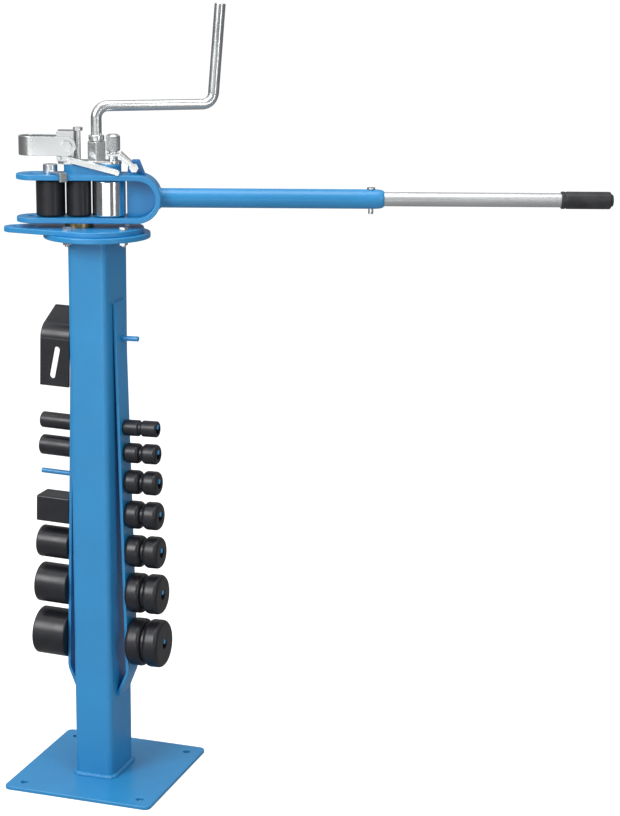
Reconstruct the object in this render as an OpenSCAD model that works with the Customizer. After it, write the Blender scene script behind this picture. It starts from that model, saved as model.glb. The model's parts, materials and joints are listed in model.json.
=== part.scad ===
// Pedestal flat bar bender: a swinging fork with rollers on a post,
// with the spare dies hung on two racks down the sides of the post.
// Origin at the middle of the base plate's underside, +Z up, +X to the right.

/* [Base] */
// Side of the square base plate
base_size = 250; // [230:1:320]
// Shift of the base plate to the right of the post
base_shift = 4.5; // [-6:0.5:6]
// Thickness of the base plate
base_t = 6; // [4:0.5:12]
// Corner radius of the base plate
base_corner_r = 10; // [2:1:20]
// Distance between neighbouring anchor holes
anchor_pitch = 200; // [150:1:206]
// Diameter of the anchor holes
anchor_d = 12; // [8:0.5:18]

/* [Post] */
// Width of the post tube, left to right
post_x = 65; // [55:1:80]
// Depth of the post tube, front to back
post_y = 86; // [70:1:95]
// Outer corner radius of the post tube
post_corner_r = 9; // [5:0.5:14]
// Wall of the post tube
post_wall = 3; // [2:0.5:4.5]
// Length of the post tube
post_len = 872; // [850:1:950]
// Leg of the weld round the foot of the post
foot_weld_leg = 5; // [3:0.5:8]
// Leg of the weld under the top flange
top_weld_leg = 3; // [2:0.5:4]
// Radius of the round flange on the post
flange_r = 82; // [76:1:100]
// Thickness of the round flange
flange_t = 8; // [6:0.5:12]

/* [Head plate] */
// Turn of the whole head on the post, in degrees
head_turn = 20; // [0:1:45]
// Radius of the head plate over the post
head_r = 72; // [68:1:75]
// Thickness of the head plate
head_t = 8; // [6:0.5:12]
// Radius of the head plate's nose
nose_r = 20; // [14:0.5:26]
// Reach of the nose centre from the post axis
nose_reach = 122; // [110:1:150]
// Diameter of the stop pin holes in the nose
stop_hole_d = 12; // [8:0.5:16]
// Spacing of the stop pin holes
stop_hole_gap = 24; // [20:1:32]
// Offset of the king pin from the post axis
pivot_back = 27; // [20:0.5:30]
// Radius of the circle of flange bolts
bolt_circle_r = 60; // [58:0.5:63]
// Shank diameter of the flange bolts
bolt_d = 8; // [6:0.5:9]
// Size across the flats of bolt heads and nuts
bolt_af = 13; // [11:0.5:14]
// Height of a bolt head
bolt_head_h = 5.3; // [4:0.1:6.5]
// Height of a nut
nut_h = 6.5; // [5:0.5:8]
// Bolt end past the nut
bolt_tail = 3; // [1:0.5:8]

/* [Fork] */
// Width of the fork's flat bar
arm_w = 60; // [54:1:70]
// Thickness of the fork's flat bar
arm_t = 8; // [6:0.5:10]
// Clear height between the two arms
arm_gap = 57; // [50:0.5:70]
// Reach of the arm tips past the king pin
tip_reach = 95; // [92:1:115]
// Length of straight arm from the king pin to the bend
arm_len = 89.5; // [86:0.5:110]
// Thickness of the thrust washer under the fork
washer_t = 8; // [7:0.5:12]
// Outer diameter of the thrust washer
washer_d = 44; // [36:1:50]
// Diameter of the king pin and of the roller pins
pin_d = 16; // [12:0.5:18]
// Radial running clearance of a pin in a fork arm
pin_play = 0.05; // [0.02:0.01:0.1]
// Radial running clearance of a roller on its pin
bore_play = 0.1; // [0.05:0.01:0.1]
// Gap above and below a roller between the arms
die_play = 0.7; // [0.4:0.1:1.5]
// Gap between centre die and the roller facing it
bar_gap = 1.5; // [1:0.1:6]
// Spacing of the two pin stations at the arm tips
station_gap = 27; // [24:0.5:29]
// Diameter of the plated inner roller
plated_d = 51; // [40:0.5:52]
// Rounding of a roller's rims
rim_r = 3; // [1:0.25:4]
// Thickness of the web inside the bend
web_t = 8; // [5:0.5:12]
// Clear space from the plated roller to the web
web_gap = 2; // [2:0.5:8]
// Top of the king pin above the upper arm
king_top = 11; // [8:0.5:12]

/* [Lever] */
// Outer diameter of the lever socket
socket_d = 30; // [27:0.5:36]
// Far end of the lever socket from the king pin
socket_end = 467; // [380:1:520]
// Outer diameter of the lever extension
extension_d = 22; // [18:0.5:24]
// Wall of the lever extension
extension_wall = 2.5; // [1.5:0.25:4]
// Radial play of the extension in the socket
socket_play = 0.1; // [0.05:0.05:0.4]
// Length of extension held inside the socket
extension_in = 110; // [60:1:160]
// Far end of the lever from the king pin
lever_end = 821; // [700:1:950]
// Outer diameter of the grip
grip_d = 27; // [25.5:0.5:34]
// Length of the grip
grip_len = 81; // [70:1:140]
// Thickness of the grip's closed end
grip_cap = 5; // [3:0.5:10]
// Diameter of the stepped end of the grip
grip_nub_d = 20; // [14:0.5:22]
// Length of the stepped end of the grip
grip_nub = 4; // [2:0.5:6]
// Length of the swaged end of the lever socket
swage_len = 12; // [8:0.5:16]
// Wall left at the mouth of the lever socket
swage_wall = 1; // [0.5:0.25:1.5]
// Cross pin's distance from the socket's end
cross_in = 20; // [14:1:40]
// Diameter of the cross pin
cross_d = 8; // [5:0.5:9]
// Cross pin's length below the socket
cross_tail = 8; // [3:0.5:14]

/* [Pull pin] */
// Diameter of the pull pin's head
pull_head_d = 22; // [20:0.5:24]
// Height of the pull pin's head
pull_head_h = 14; // [8:0.5:16]
// Gap from the pull pin's end down to the flange bolts' heads
pull_clear = 0.7; // [0.4:0.1:1]
// Width of the pull pin's tab
tab_w = 12; // [8:0.5:14]
// Thickness of the tab
tab_t = 4; // [2.5:0.5:5]
// Direction of the tab from the lever's line
tab_turn = -58; // [-65:1:-57]
// Gap between the tab and the arm
tab_gap = 0.6; // [0.4:0.1:1.5]
// Drop of the tab's lip past the arm's edge
tab_drop = 14; // [6:0.5:20]

/* [Hold-down head] */
// Radius of the blue pivot boss
boss_r = 22; // [18:0.5:26]
// Height of the pivot boss
boss_h = 15; // [14:0.5:18]
// Thickness of the link plate
link_t = 5; // [4:0.5:8]
// Width of the link plate
link_w = 34; // [30:1:40]
// Distance of the crank screw from the king pin
screw_x = 28; // [26:0.5:30]
// Diameter of the crank screw
screw_d = 12; // [10:0.5:14]
// Clearance round pieces that pass through a hole
pass_play = 0.3; // [0.3:0.05:0.6]
// Size across the flats of the screw column
column_af = 26; // [22:0.5:27]
// Height of the screw column
column_h = 29; // [20:0.5:36]
// Distance of the thumb screw from the king pin
thumb_x = 53; // [52:0.5:56]
// Diameter of the thumb screw's head
thumb_d = 22; // [16:0.5:22]
// Height of the thumb screw's head
thumb_h = 26; // [12:0.5:30]
// Diameter of the thumb screw's stud
thumb_stud_d = 8; // [6:0.5:10]
// Stud showing between the link plate and the thumb screw's head
thumb_neck = 14; // [13:0.5:20]
// Depth of the stud in the boss
thumb_seat = 8; // [6:0.5:12]
// Width of the strap block along the fork
block_w = 26; // [23:0.5:26.5]
// Depth of the strap block across the fork
block_d = 38; // [34:0.5:42]
// Height of the strap block
block_h = 45; // [41:0.5:50]
// Right face of the strap block from the king pin
block_right = -5; // [-5.5:0.5:0]
// Height of the strap's strip
strap_h = 29; // [22:0.5:31]
// Thickness of the strap's strip
strap_t = 4; // [3:0.5:6]
// Far end of the strap from the king pin
strap_reach = 90; // [80:1:110]
// Strap bolt's distance from the block's right face
strap_bolt_in = 11; // [9:0.5:13]
// Height of the strap bolt above the link plate
strap_bolt_z = 23; // [21:0.5:26]
// Diameter of the strap bolt
strap_bolt_d = 10; // [8:0.5:11]
// Diameter of the stop pins under the strap
strap_stop_d = 6; // [4:0.5:6]
// Thickness of the stay lug on the arm
lug_t = 10; // [6:0.5:14]
// Height of the stay lug
lug_h = 22; // [20:0.5:26]
// Height of the lug's bolt above the arm
lug_bolt_z = 10; // [9:0.5:11]
// Distance of the lug's bolt from the king pin
lug_bolt_x = 85; // [83:0.5:86]
// Thickness of each side of the stay
stay_t = 4; // [3:0.5:6]
// Width of a side of the stay
stay_w = 12; // [10:0.5:14]
// Height of the stay's sleeve round the stud
stay_rise = 7; // [4:0.5:8]
// Thickness of the brace in front of the boss
brace_t = 5; // [4:0.5:6]
// Width of the brace
brace_w = 9; // [8:0.5:10]
// Height of the brace's upper bolt above the link plate
brace_top = 3; // [2.5:0.25:3.5]
// Distance of the brace's lower bolt from the king pin
brace_foot_x = 60; // [56:0.5:66]
// Shank diameter of the brace's bolts
brace_bolt_d = 5; // [4:0.5:5]
// Size across the flats of the heads of the brace's bolts
brace_bolt_af = 8; // [7:0.5:8]

/* [Crank] */
// Diameter of the crank's rod
crank_d = 16.5; // [12:0.5:17]
// Radial step from the rod up to the crank's handle
handle_step = 0.3; // [0.2:0.1:2]
// Centre line radius of the crank's bends
crank_bend_r = 18; // [14:0.5:24]
// Height of the crank's arm above the column
crank_rise = 53; // [42:1:70]
// Length of the crank's arm
crank_arm = 185; // [120:1:200]
// Length of the crank's upright handle
crank_grip = 154; // [100:1:180]
// Outward lean of the handle, in degrees
crank_lean = 4.5; // [0:0.5:8]
// Turn of the crank from the lever's line
crank_turn = 17; // [0:1:60]
// Diameter of the crank's collar
collar_d = 24; // [20:0.5:26]
// Height of the crank's collar
collar_h = 8; // [5:0.5:12]
// Gap from the collar down to the column
collar_gap = 1.5; // [1:0.1:3]
// Gap from the pad down to the plated roller
pad_gap = 0.3; // [0.3:0.1:1]
// Height of the brake pad
pad_h = 11; // [9.5:0.5:15]

/* [Racks] */
// Width of a rack strip
strip_w = 40; // [30:1:48]
// Thickness of a rack strip
strip_t = 5; // [3:0.5:7]
// Stand-off of the strip at its lower bend
rack_standoff = 15.5; // [10:0.5:20]
// Drop of the strips' upper ends below the post's top
rack_drop = 98; // [50:1:110]
// Height of the strips' lower bend
rack_bend_z = 180; // [165:1:188]
// Height where the strips meet the post again
rack_foot_z = 146; // [130:1:150]
// Drop of the upper peg below the strips' upper ends
peg_top_drop = 58; // [48:1:70]
// Rise of the left upper peg, for the bracket, above the right one
bracket_peg_lift = 12; // [0:1:20]
// Drop from the upper peg to the peg for the smallest die
peg_first_drop = 138; // [128:1:145]
// Diameter of the pegs
peg_d = 8; // [6:0.5:10]
// Length of the pegs
peg_len = 56; // [50:0.5:70]
// Length of the two upper pegs
peg_top_len = 28; // [20:0.5:40]
// Gap between neighbouring dies on a rack
die_gap = 12; // [8:0.5:14]
// Greatest depth of the groove of a grooved die
groove_depth = 7; // [4:0.25:8]
// Width of the flat at the bottom of a groove
groove_flat = 4; // [2:0.5:8]
// Least wall between a groove and the bore
die_wall = 2; // [1.5:0.25:2.5]
// Side of the square die
square_side = 42; // [32:0.5:44]
// Clearance between a hung piece and its peg
hang_play = 0.3; // [0.3:0.05:0.6]

/* [Slotted bracket] */
// Length of the bracket along its peg
bracket_len = 49; // [40:0.5:54]
// Thickness of the bracket's plate
bracket_t = 5; // [3:0.5:6]
// Straight length of the bracket's front leg
bracket_leg = 75; // [66:1:84]
// Straight length of the bracket's rear leg
bracket_hook = 15; // [8:0.5:20]
// Depth from the peg to the front leg's inner face
bracket_front = 19; // [14:0.5:24]
// Depth from the peg to the rear leg's inner face
bracket_rear = 36; // [28:0.5:38]
// Rise of the bracket's web to the rear, in degrees
bracket_rise = 27; // [10:1:35]
// Inner radius of the bracket's front fold
bracket_fold = 20; // [10:0.5:22]
// Inner radius of the bracket's rear fold
hook_fold = 3; // [2:0.5:5]
// Thinning of the plate on each side of a fold
fold_thin = 0.1; // [0.05:0.05:0.3]
// Width of the bracket's slot
slot_w = 10; // [6:0.5:14]
// Length of the bracket's slot
slot_len = 52; // [30:1:56]
// Slant of the slot, in degrees
slot_slant = 10.5; // [0:0.5:12]

/* [Hidden] */
$fn = 64;
blue = [0.16, 0.47, 0.74];
black = [0.14, 0.14, 0.15];
zinc = [0.80, 0.82, 0.82];
bronze = [0.62, 0.48, 0.28];
inch = 25.4;

// Catalogue of die diameters, smallest first
die_sizes = [for (n = [1, 1.25, 1.5, 1.75, 2, 2.5, 3]) n * inch];
centre_d = die_sizes[2];
roller_d = die_sizes[3];

// Levels of the head, from the post up
post_top = base_t + post_len;
head_z = post_top + flange_t;
washer_z = head_z + head_t;
low_z = washer_z + washer_t;
low_top = low_z + arm_t;
up_z = low_top + arm_gap;
up_top = up_z + arm_t;
lever_z = (low_z + up_top) / 2;
boss_top = up_top + boss_h;
link_top = boss_top + link_t;
column_top = link_top + column_h;
die_len = arm_gap - 2 * die_play;
die_z = low_top + die_play;
die_top = die_z + die_len;

// Plan positions along the fork, from the king pin
bend_in_r = arm_gap / 2;
bend_out_r = bend_in_r + arm_t;
station_1 = -(centre_d / 2 + roller_d / 2 + bar_gap);
station_2 = station_1 - station_gap;
plated_x = centre_d / 2 + plated_d / 2 + bar_gap;
web_x = plated_x + plated_d / 2 + web_gap;
block_left = block_right - block_w;
strap_bolt_x = block_right - strap_bolt_in;
strap_z = link_top + strap_bolt_z;
strap_in = block_d / 2 + pass_play;
strap_out = strap_in + strap_t;
block_bolt_x = block_right + bolt_d / 2 + 1;
lug_bolt_up = up_top + lug_bolt_z;
stay_z = link_top + stay_rise;
brace_y = strap_out + pass_play;
brace_head_x = strap_bolt_x + strap_bolt_d / 2;
brace_head_z = link_top + brace_top;
brace_foot_z = up_top + brace_w / 2;
screw_hole_d = screw_d + 2 * pass_play;
pad_z = die_top + pad_gap;
pad_top = pad_z + pad_h;
collar_z = column_top + collar_gap;
crank_z = column_top + crank_rise;
die_bore = pin_d + 2 * bore_play;
pull_tail = washer_t - bolt_head_h - pull_clear;
cross_x = socket_end - cross_in;
extension_x = socket_end - extension_in;
grip_x = lever_end - grip_len;
grip_stop = lever_end - grip_nub - grip_cap;

// Racks
rack_top_z = post_top - rack_drop;
peg_top_z = rack_top_z - peg_top_drop;
bracket_peg_z = peg_top_z + bracket_peg_lift;
peg_first_z = peg_top_z - peg_first_drop;
strip_lean = atan(rack_standoff / (rack_top_z - rack_bend_z));
hang_drop = (die_bore - peg_d) / 2 - hang_play;
peg_count = len(die_sizes);
function die_step(i) = (die_sizes[i - 1] + die_sizes[i]) / 2 + die_gap;
function peg_z(i) = i == 0 ? peg_first_z : peg_z(i - 1) - die_step(i);
function strip_face(z) = post_x / 2 + strip_t
    + rack_standoff * (rack_top_z - z) / (rack_top_z - rack_bend_z);
function fold_y(x, r) = (peg_d / 2 + hang_play - r + sin(bracket_rise) * x) / cos(bracket_rise);
fold_lap = 3;
function groove_of(d) = min(groove_depth, d / 2 - die_bore / 2 - die_wall);

// Frames and outlines shared by several pieces

module in_head() {
    rotate([0, 0, head_turn]) children();
}

module in_fork() {
    in_head() translate([-pivot_back, 0, 0]) children();
}

// Turns a drawing in X and Z into a slab of width w centred on Y = 0
module slab(w) {
    translate([0, w / 2, 0])
        rotate([90, 0, 0])
            linear_extrude(w) children();
}

module rounded_rect(w, h, r) {
    square([w - 2 * r, h], center = true);
    square([w, h - 2 * r], center = true);
    for (sx = [-1, 1], sy = [-1, 1])
        translate([sx * (w / 2 - r), sy * (h / 2 - r)]) circle(r);
}

module oblong(x0, x1, r) {
    translate([x0, 0]) circle(r);
    translate([x1, 0]) circle(r);
    translate([x0, -r]) square([x1 - x0, 2 * r]);
}

// Half of a disc, on the side of +X
module half_disc(r) {
    intersection() {
        circle(r);
        translate([0, -r]) square([r, 2 * r]);
    }
}

module hex_prism(af, h) {
    cylinder(d = af / cos(30), h = h, $fn = 6);
}

module drop(r) {
    for (a = [45 : 90 : 315])
        rotate([0, 0, a]) translate([r, 0, 0]) children();
}

// A plate with a round body at the origin and a straight-sided nose towards -X.
// The sides run just inside the common tangents and so cross both arcs.
module nose_outline() {
    inset = 0.3;
    a = acos((head_r - nose_r) / nose_reach);
    body = (head_r - inset) * [cos(a), sin(a)];
    tip = (nose_r - inset) * [cos(a), sin(a)];
    circle(head_r);
    translate([-nose_reach, 0]) circle(nose_r);
    polygon([
        [-body.x, body.y],
        [-nose_reach - tip.x, tip.y],
        [-nose_reach - tip.x, -tip.y],
        [-body.x, -body.y]
    ]);
}

// Pedestal

module base_plate() {
    color(blue)
    translate([base_shift, 0, 0])
    difference() {
        linear_extrude(base_t) rounded_rect(base_size, base_size, base_corner_r);
        for (sx = [-1, 1], sy = [-1, 1])
            translate([sx * anchor_pitch / 2, sy * anchor_pitch / 2, -1])
                cylinder(d = anchor_d, h = base_t + 2);
    }
}

module post_outline(grow = 0) {
    rounded_rect(post_x + 2 * grow, post_y + 2 * grow, post_corner_r + grow);
}

module weld_ring(leg) {
    linear_extrude(leg)
    difference() {
        post_outline(leg);
        post_outline();
    }
}

module foot_weld() {
    color(blue) translate([0, 0, base_t]) weld_ring(foot_weld_leg);
}

module top_weld() {
    color(blue) translate([0, 0, post_top - top_weld_leg]) weld_ring(top_weld_leg);
}

module post_tube() {
    color(blue)
    translate([0, 0, base_t])
    linear_extrude(post_len)
    difference() {
        post_outline();
        post_outline(-post_wall);
    }
}

module flange_holes(h) {
    in_head() drop(bolt_circle_r) translate([0, 0, -1]) cylinder(d = bolt_d, h = h + 2);
    in_fork() translate([0, 0, -1]) cylinder(d = pin_d, h = h + 2);
}

module top_flange() {
    color(blue)
    translate([0, 0, post_top])
    difference() {
        cylinder(r = flange_r, h = flange_t, $fn = 96);
        flange_holes(flange_t);
    }
}

module head_plate() {
    color(blue)
    translate([0, 0, head_z])
    difference() {
        in_head() linear_extrude(head_t) nose_outline();
        flange_holes(head_t);
        for (i = [0, 1])
            in_head()
                translate([-nose_reach + i * stop_hole_gap, 0, -1])
                    cylinder(d = stop_hole_d, h = head_t + 2);
    }
}

module flange_bolt() {
    translate([0, 0, washer_z]) hex_prism(bolt_af, bolt_head_h);
    translate([0, 0, post_top - nut_h - bolt_tail])
        cylinder(d = bolt_d, h = washer_z - post_top + nut_h + bolt_tail + 1);
    translate([0, 0, post_top - nut_h]) hex_prism(bolt_af, nut_h);
}

module flange_bolts() {
    color(zinc) in_head() drop(bolt_circle_r) flange_bolt();
}

module king_pin() {
    color(zinc)
    in_fork() translate([0, 0, post_top])
        cylinder(d = pin_d, h = up_top + king_top - post_top);
}

module thrust_washer() {
    color(bronze)
    in_fork() translate([0, 0, washer_z])
    difference() {
        cylinder(d = washer_d, h = washer_t);
        translate([0, 0, -1]) cylinder(d = pin_d, h = washer_t + 2);
    }
}

// Racks

module strip_outline() {
    half = post_x / 2;
    foot_drop = strip_t * 1.4;
    polygon([
        [half, rack_top_z],
        [half + strip_t, rack_top_z],
        [half + strip_t + rack_standoff, rack_bend_z],
        [half + strip_t * 0.8, rack_foot_z - foot_drop],
        [half, rack_foot_z - foot_drop],
        [half, rack_foot_z],
        [half + rack_standoff, rack_bend_z]
    ]);
}

module rack_strip_right() {
    color(blue) slab(strip_w) strip_outline();
}

module rack_strip_left() {
    color(blue) mirror([1, 0, 0]) slab(strip_w) strip_outline();
}

// Frame on a peg: Z along the peg from the strip's face, X towards the floor
module on_peg(z) {
    translate([strip_face(z), 0, z]) rotate([0, 90 - strip_lean, 0]) children();
}

module peg(z, length) {
    root = strip_t / 2;
    on_peg(z) translate([0, 0, -root]) cylinder(d = peg_d, h = length + root);
}

module pegs(top_z) {
    difference() {
        union() {
            peg(top_z, peg_top_len);
            for (i = [0 : peg_count - 1]) peg(peg_z(i), peg_len);
        }
        slab(strip_w) strip_outline();
    }
}

module rack_pegs_right() {
    color(blue) pegs(peg_top_z);
}

module rack_pegs_left() {
    color(blue) mirror([1, 0, 0]) pegs(bracket_peg_z);
}

// Dies and rollers: outlines in radius and length, turned about the bore

module lobe_outline(r, z0, z1, c) {
    translate([die_bore / 2, z0]) square([r - c - die_bore / 2, z1 - z0]);
    translate([die_bore / 2, z0 + c]) square([r - die_bore / 2, z1 - z0 - 2 * c]);
    translate([r - c, z0 + c]) half_disc(c);
    translate([r - c, z1 - c]) half_disc(c);
}

module plain_die(d) {
    rotate_extrude() lobe_outline(d / 2, 0, die_len, rim_r);
}

module grooved_die(d) {
    g = groove_of(d);
    z1 = (die_len - groove_flat) / 2;
    rotate_extrude() {
        lobe_outline(d / 2, 0, z1, g);
        lobe_outline(d / 2, die_len - z1, die_len, g);
        translate([die_bore / 2, z1 - g]) square([d / 2 - g - die_bore / 2, groove_flat + 2 * g]);
    }
}

module square_block(side) {
    difference() {
        linear_extrude(die_len) rounded_rect(side, side, rim_r);
        translate([0, 0, -1]) cylinder(d = die_bore, h = die_len + 2);
    }
}

module hung(i) {
    on_peg(peg_z(i)) translate([hang_drop, 0, hang_play]) children();
}

module grooved_hung(i) {
    color(black) hung(i) grooved_die(die_sizes[i]);
}

module plain_hung(i) {
    color(black) mirror([1, 0, 0]) hung(i) plain_die(die_sizes[i]);
}

module square_die() {
    color(black) mirror([1, 0, 0]) hung(3) square_block(square_side);
}

// Bracket folded from one plate: X to the rear, Y up, peg at the origin under the web
module bracket_plate() {
    front = [bracket_fold - bracket_front, fold_y(bracket_fold - bracket_front, bracket_fold)];
    rear = [bracket_rear - hook_fold, fold_y(bracket_rear - hook_fold, hook_fold)];
    web = (rear - front) * [cos(bracket_rise), sin(bracket_rise)];
    translate([-bracket_front - bracket_t, front.y - bracket_leg, 0])
        cube([bracket_t, bracket_leg, bracket_len]);
    translate(front) fold(bracket_fold, 90 + bracket_rise, 180);
    translate(front) rotate(bracket_rise) translate([0, bracket_fold, 0])
        cube([web, bracket_t, bracket_len]);
    translate(rear) fold(hook_fold, 0, 90 + bracket_rise);
    translate([bracket_rear, rear.y - bracket_hook, 0])
        cube([bracket_t, bracket_hook, bracket_len]);
}

// Fold of the bracket's plate about the origin, running a little into both its neighbours
module fold(r, from, to) {
    reach = 4 * (r + bracket_t);
    a = from - fold_lap;
    b = to + fold_lap;
    linear_extrude(bracket_len)
    intersection() {
        difference() {
            circle(r + bracket_t - fold_thin);
            circle(r + fold_thin);
        }
        polygon([[0, 0], reach * [cos(a), sin(a)], reach * [cos(b), sin(b)]]);
    }
}

module bracket_slot() {
    mid = fold_y(bracket_fold - bracket_front, bracket_fold) - bracket_leg / 2;
    translate([0, mid]) rotate(90 + slot_slant)
        oblong(-(slot_len - slot_w) / 2, (slot_len - slot_w) / 2, slot_w / 2);
}

module slotted_bracket() {
    color(black)
    mirror([1, 0, 0])
    on_peg(bracket_peg_z)
    translate([0, 0, hang_play])
    difference() {
        rotate([0, 0, 90]) bracket_plate();
        translate([0, -bracket_front + 1, bracket_len / 2])
            rotate([90, 0, 0])
                linear_extrude(bracket_t + 2)
                    rotate(90) bracket_slot();
    }
}

// Fork and lever

module arm_outline() {
    oblong(arm_w / 2 - tip_reach, 0, arm_w / 2);
    translate([0, -arm_w / 2]) square([arm_len, arm_w]);
}

module fork_arm(z) {
    color(blue)
    in_fork()
    translate([0, 0, z])
    difference() {
        linear_extrude(arm_t) arm_outline();
        for (x = [0, station_1, station_2])
            translate([x, 0, -1]) cylinder(d = pin_d + 2 * pin_play, h = arm_t + 2);
        translate([plated_x, 0, -1]) cylinder(d = pin_d, h = arm_t + 2);
        if (z == up_z) translate([screw_x, 0, -1]) cylinder(d = screw_hole_d, h = arm_t + 2);
    }
}

module fork_arm_lower() {
    fork_arm(low_z);
}

module fork_arm_upper() {
    fork_arm(up_z);
}

// Half round bend of the same flat bar, from arm to arm
module fork_bend() {
    color(blue)
    in_fork()
    translate([arm_len, 0, lever_z])
    slab(arm_w)
    difference() {
        half_disc(bend_out_r);
        circle(bend_in_r);
    }
}

module bend_web() {
    color(blue)
    in_fork()
    translate([0, 0, lever_z])
    slab(web_t) {
        translate([arm_len, 0]) half_disc(bend_in_r);
        translate([web_x, -bend_in_r]) square([arm_len - web_x, arm_gap]);
    }
}

// Space taken by the outside of the bend and of the arms
module yoke_body() {
    translate([arm_len, 0, lever_z])
        slab(arm_w + 2) circle(bend_out_r);
    translate([0, -arm_w / 2, low_z]) cube([arm_len, arm_w, up_top - low_z]);
}

module along_lever(x) {
    translate([x, 0, lever_z]) rotate([0, 90, 0]) children();
}

module lever_socket() {
    root = arm_len + bend_in_r;
    bore_r = extension_d / 2 + socket_play;
    r = socket_d / 2;
    mouth = bore_r + swage_wall;
    straight = socket_end - swage_len - root;
    color(blue)
    in_fork()
    difference() {
        along_lever(root) rotate_extrude() polygon([
            [bore_r, 0],
            [r, 0],
            [r, straight],
            [r - (r - mouth) * 0.12, straight + swage_len * 0.4],
            [r - (r - mouth) * 0.42, straight + swage_len * 0.75],
            [mouth, straight + swage_len],
            [bore_r, straight + swage_len]
        ]);
        yoke_body();
        translate([cross_x, 0, lever_z - socket_d])
            cylinder(d = cross_d + 2 * pin_play, h = 2 * socket_d);
    }
}

module lever_extension() {
    color(zinc)
    in_fork()
    difference() {
        along_lever(extension_x) cylinder(d = extension_d, h = grip_stop - extension_x);
        along_lever(extension_x - 1)
            cylinder(d = extension_d - 2 * extension_wall, h = lever_end - extension_x);
        translate([cross_x, 0, lever_z - socket_d])
            cylinder(d = cross_d + 2 * pin_play, h = 2 * socket_d);
    }
}

module lever_grip() {
    bead = 3;
    r = grip_d / 2;
    body = grip_len - grip_nub;
    color(black)
    in_fork()
    along_lever(grip_x)
    rotate_extrude() {
        translate([extension_d / 2, 0]) square([r - extension_d / 2, body - bead]);
        translate([0, body - grip_cap]) square([r - bead, grip_cap]);
        translate([r - bead, body - bead]) intersection() {
            circle(bead);
            square(bead);
        }
        translate([0, body]) square([grip_nub_d / 2, grip_nub]);
    }
}

module cross_pin() {
    head = 3;
    color(zinc)
    in_fork()
    translate([cross_x, 0, lever_z]) {
        translate([0, 0, -socket_d / 2 - cross_tail])
            cylinder(d = cross_d, h = socket_d + cross_tail + head);
        translate([0, 0, socket_d / 2]) cylinder(d = cross_d * 1.6, h = head);
    }
}

module plated_roller_pin() {
    color(zinc)
    in_fork() translate([plated_x, 0, low_z]) cylinder(d = pin_d, h = up_top - low_z);
}

module centre_die() {
    color(black) in_fork() translate([0, 0, die_z]) plain_die(centre_d);
}

module bend_roller() {
    color(black) in_fork() translate([station_1, 0, die_z]) plain_die(roller_d);
}

module plated_roller() {
    color(zinc) in_fork() translate([plated_x, 0, die_z]) plain_die(plated_d);
}

// Pin with a bent tab that hooks over the arm's front edge
module pull_pin() {
    reach = (arm_w / 2 + tab_gap) / sin(-tab_turn) + tab_w / 2 / tan(-tab_turn);
    color(zinc)
    in_fork()
    translate([station_1, 0, 0]) {
        translate([0, 0, low_z - pull_tail])
            cylinder(d = pin_d, h = up_top - low_z + pull_tail + 1);
        translate([0, 0, up_top]) cylinder(d = pull_head_d, h = pull_head_h);
        rotate([0, 0, tab_turn]) translate([0, 0, up_top + tab_gap]) {
            translate([0, -tab_w / 2, 0]) cube([reach + tab_t, tab_w, tab_t]);
            translate([reach, -tab_w / 2, tab_t - tab_drop]) cube([tab_t, tab_w, tab_drop]);
        }
    }
}

// Hold-down head on the upper arm

module pivot_boss() {
    end = thumb_x + pass_play + thumb_stud_d - boss_r + 4;
    color(blue)
    in_fork()
    translate([0, 0, up_top])
    difference() {
        linear_extrude(boss_h) oblong(0, end, boss_r);
        translate([0, 0, -1]) cylinder(d = pin_d + 2 * pin_play, h = king_top + 2);
        translate([screw_x, 0, -1]) cylinder(d = screw_hole_d, h = boss_h + 2);
        translate([thumb_x, 0, boss_h - thumb_seat - 1])
            cylinder(d = thumb_stud_d + 2 * pass_play, h = thumb_seat + 2);
    }
}

module link_plate() {
    color(zinc)
    in_fork()
    translate([0, 0, boss_top])
    difference() {
        linear_extrude(link_t) oblong(block_left + link_w / 2, thumb_x - 4, link_w / 2);
        translate([screw_x, 0, -1]) cylinder(d = screw_hole_d, h = link_t + 2);
        translate([thumb_x, 0, -1])
            cylinder(d = thumb_stud_d + 2 * pass_play, h = link_t + 2);
        translate([block_bolt_x, 0, -1]) cylinder(d = bolt_d, h = link_t + 2);
    }
}

module strap_block() {
    stop_x = block_left + strap_stop_d / 2 + 1;
    stop_z = strap_bolt_z - strap_h / 2 - pass_play - strap_stop_d / 2;
    color(zinc)
    in_fork()
    translate([0, 0, link_top])
    difference() {
        union() {
            translate([block_left, -block_d / 2, 0]) cube([block_w, block_d, block_h]);
            translate([stop_x, 0, stop_z]) rotate([90, 0, 0])
                cylinder(d = strap_stop_d, h = 2 * strap_out, center = true);
        }
        translate([strap_bolt_x, 0, strap_bolt_z]) rotate([90, 0, 0])
            cylinder(d = strap_bolt_d, h = block_d + 2, center = true);
    }
}

module block_bolt() {
    color(zinc)
    in_fork()
    translate([block_bolt_x, 0, 0]) {
        translate([0, 0, boss_top]) cylinder(d = bolt_d, h = link_t + block_h + 1);
        translate([0, 0, link_top + block_h]) hex_prism(bolt_af, bolt_head_h);
    }
}

module strap_bolt() {
    head = strap_out + pass_play;
    color(zinc)
    in_fork()
    translate([strap_bolt_x, 0, strap_z]) rotate([90, 0, 0]) {
        cylinder(d = strap_bolt_d, h = 2 * head, center = true);
        for (s = [0, 180])
            rotate([s, 0, 0]) translate([0, 0, head])
                hex_prism(strap_bolt_d * 1.6, bolt_head_h);
    }
}

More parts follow.
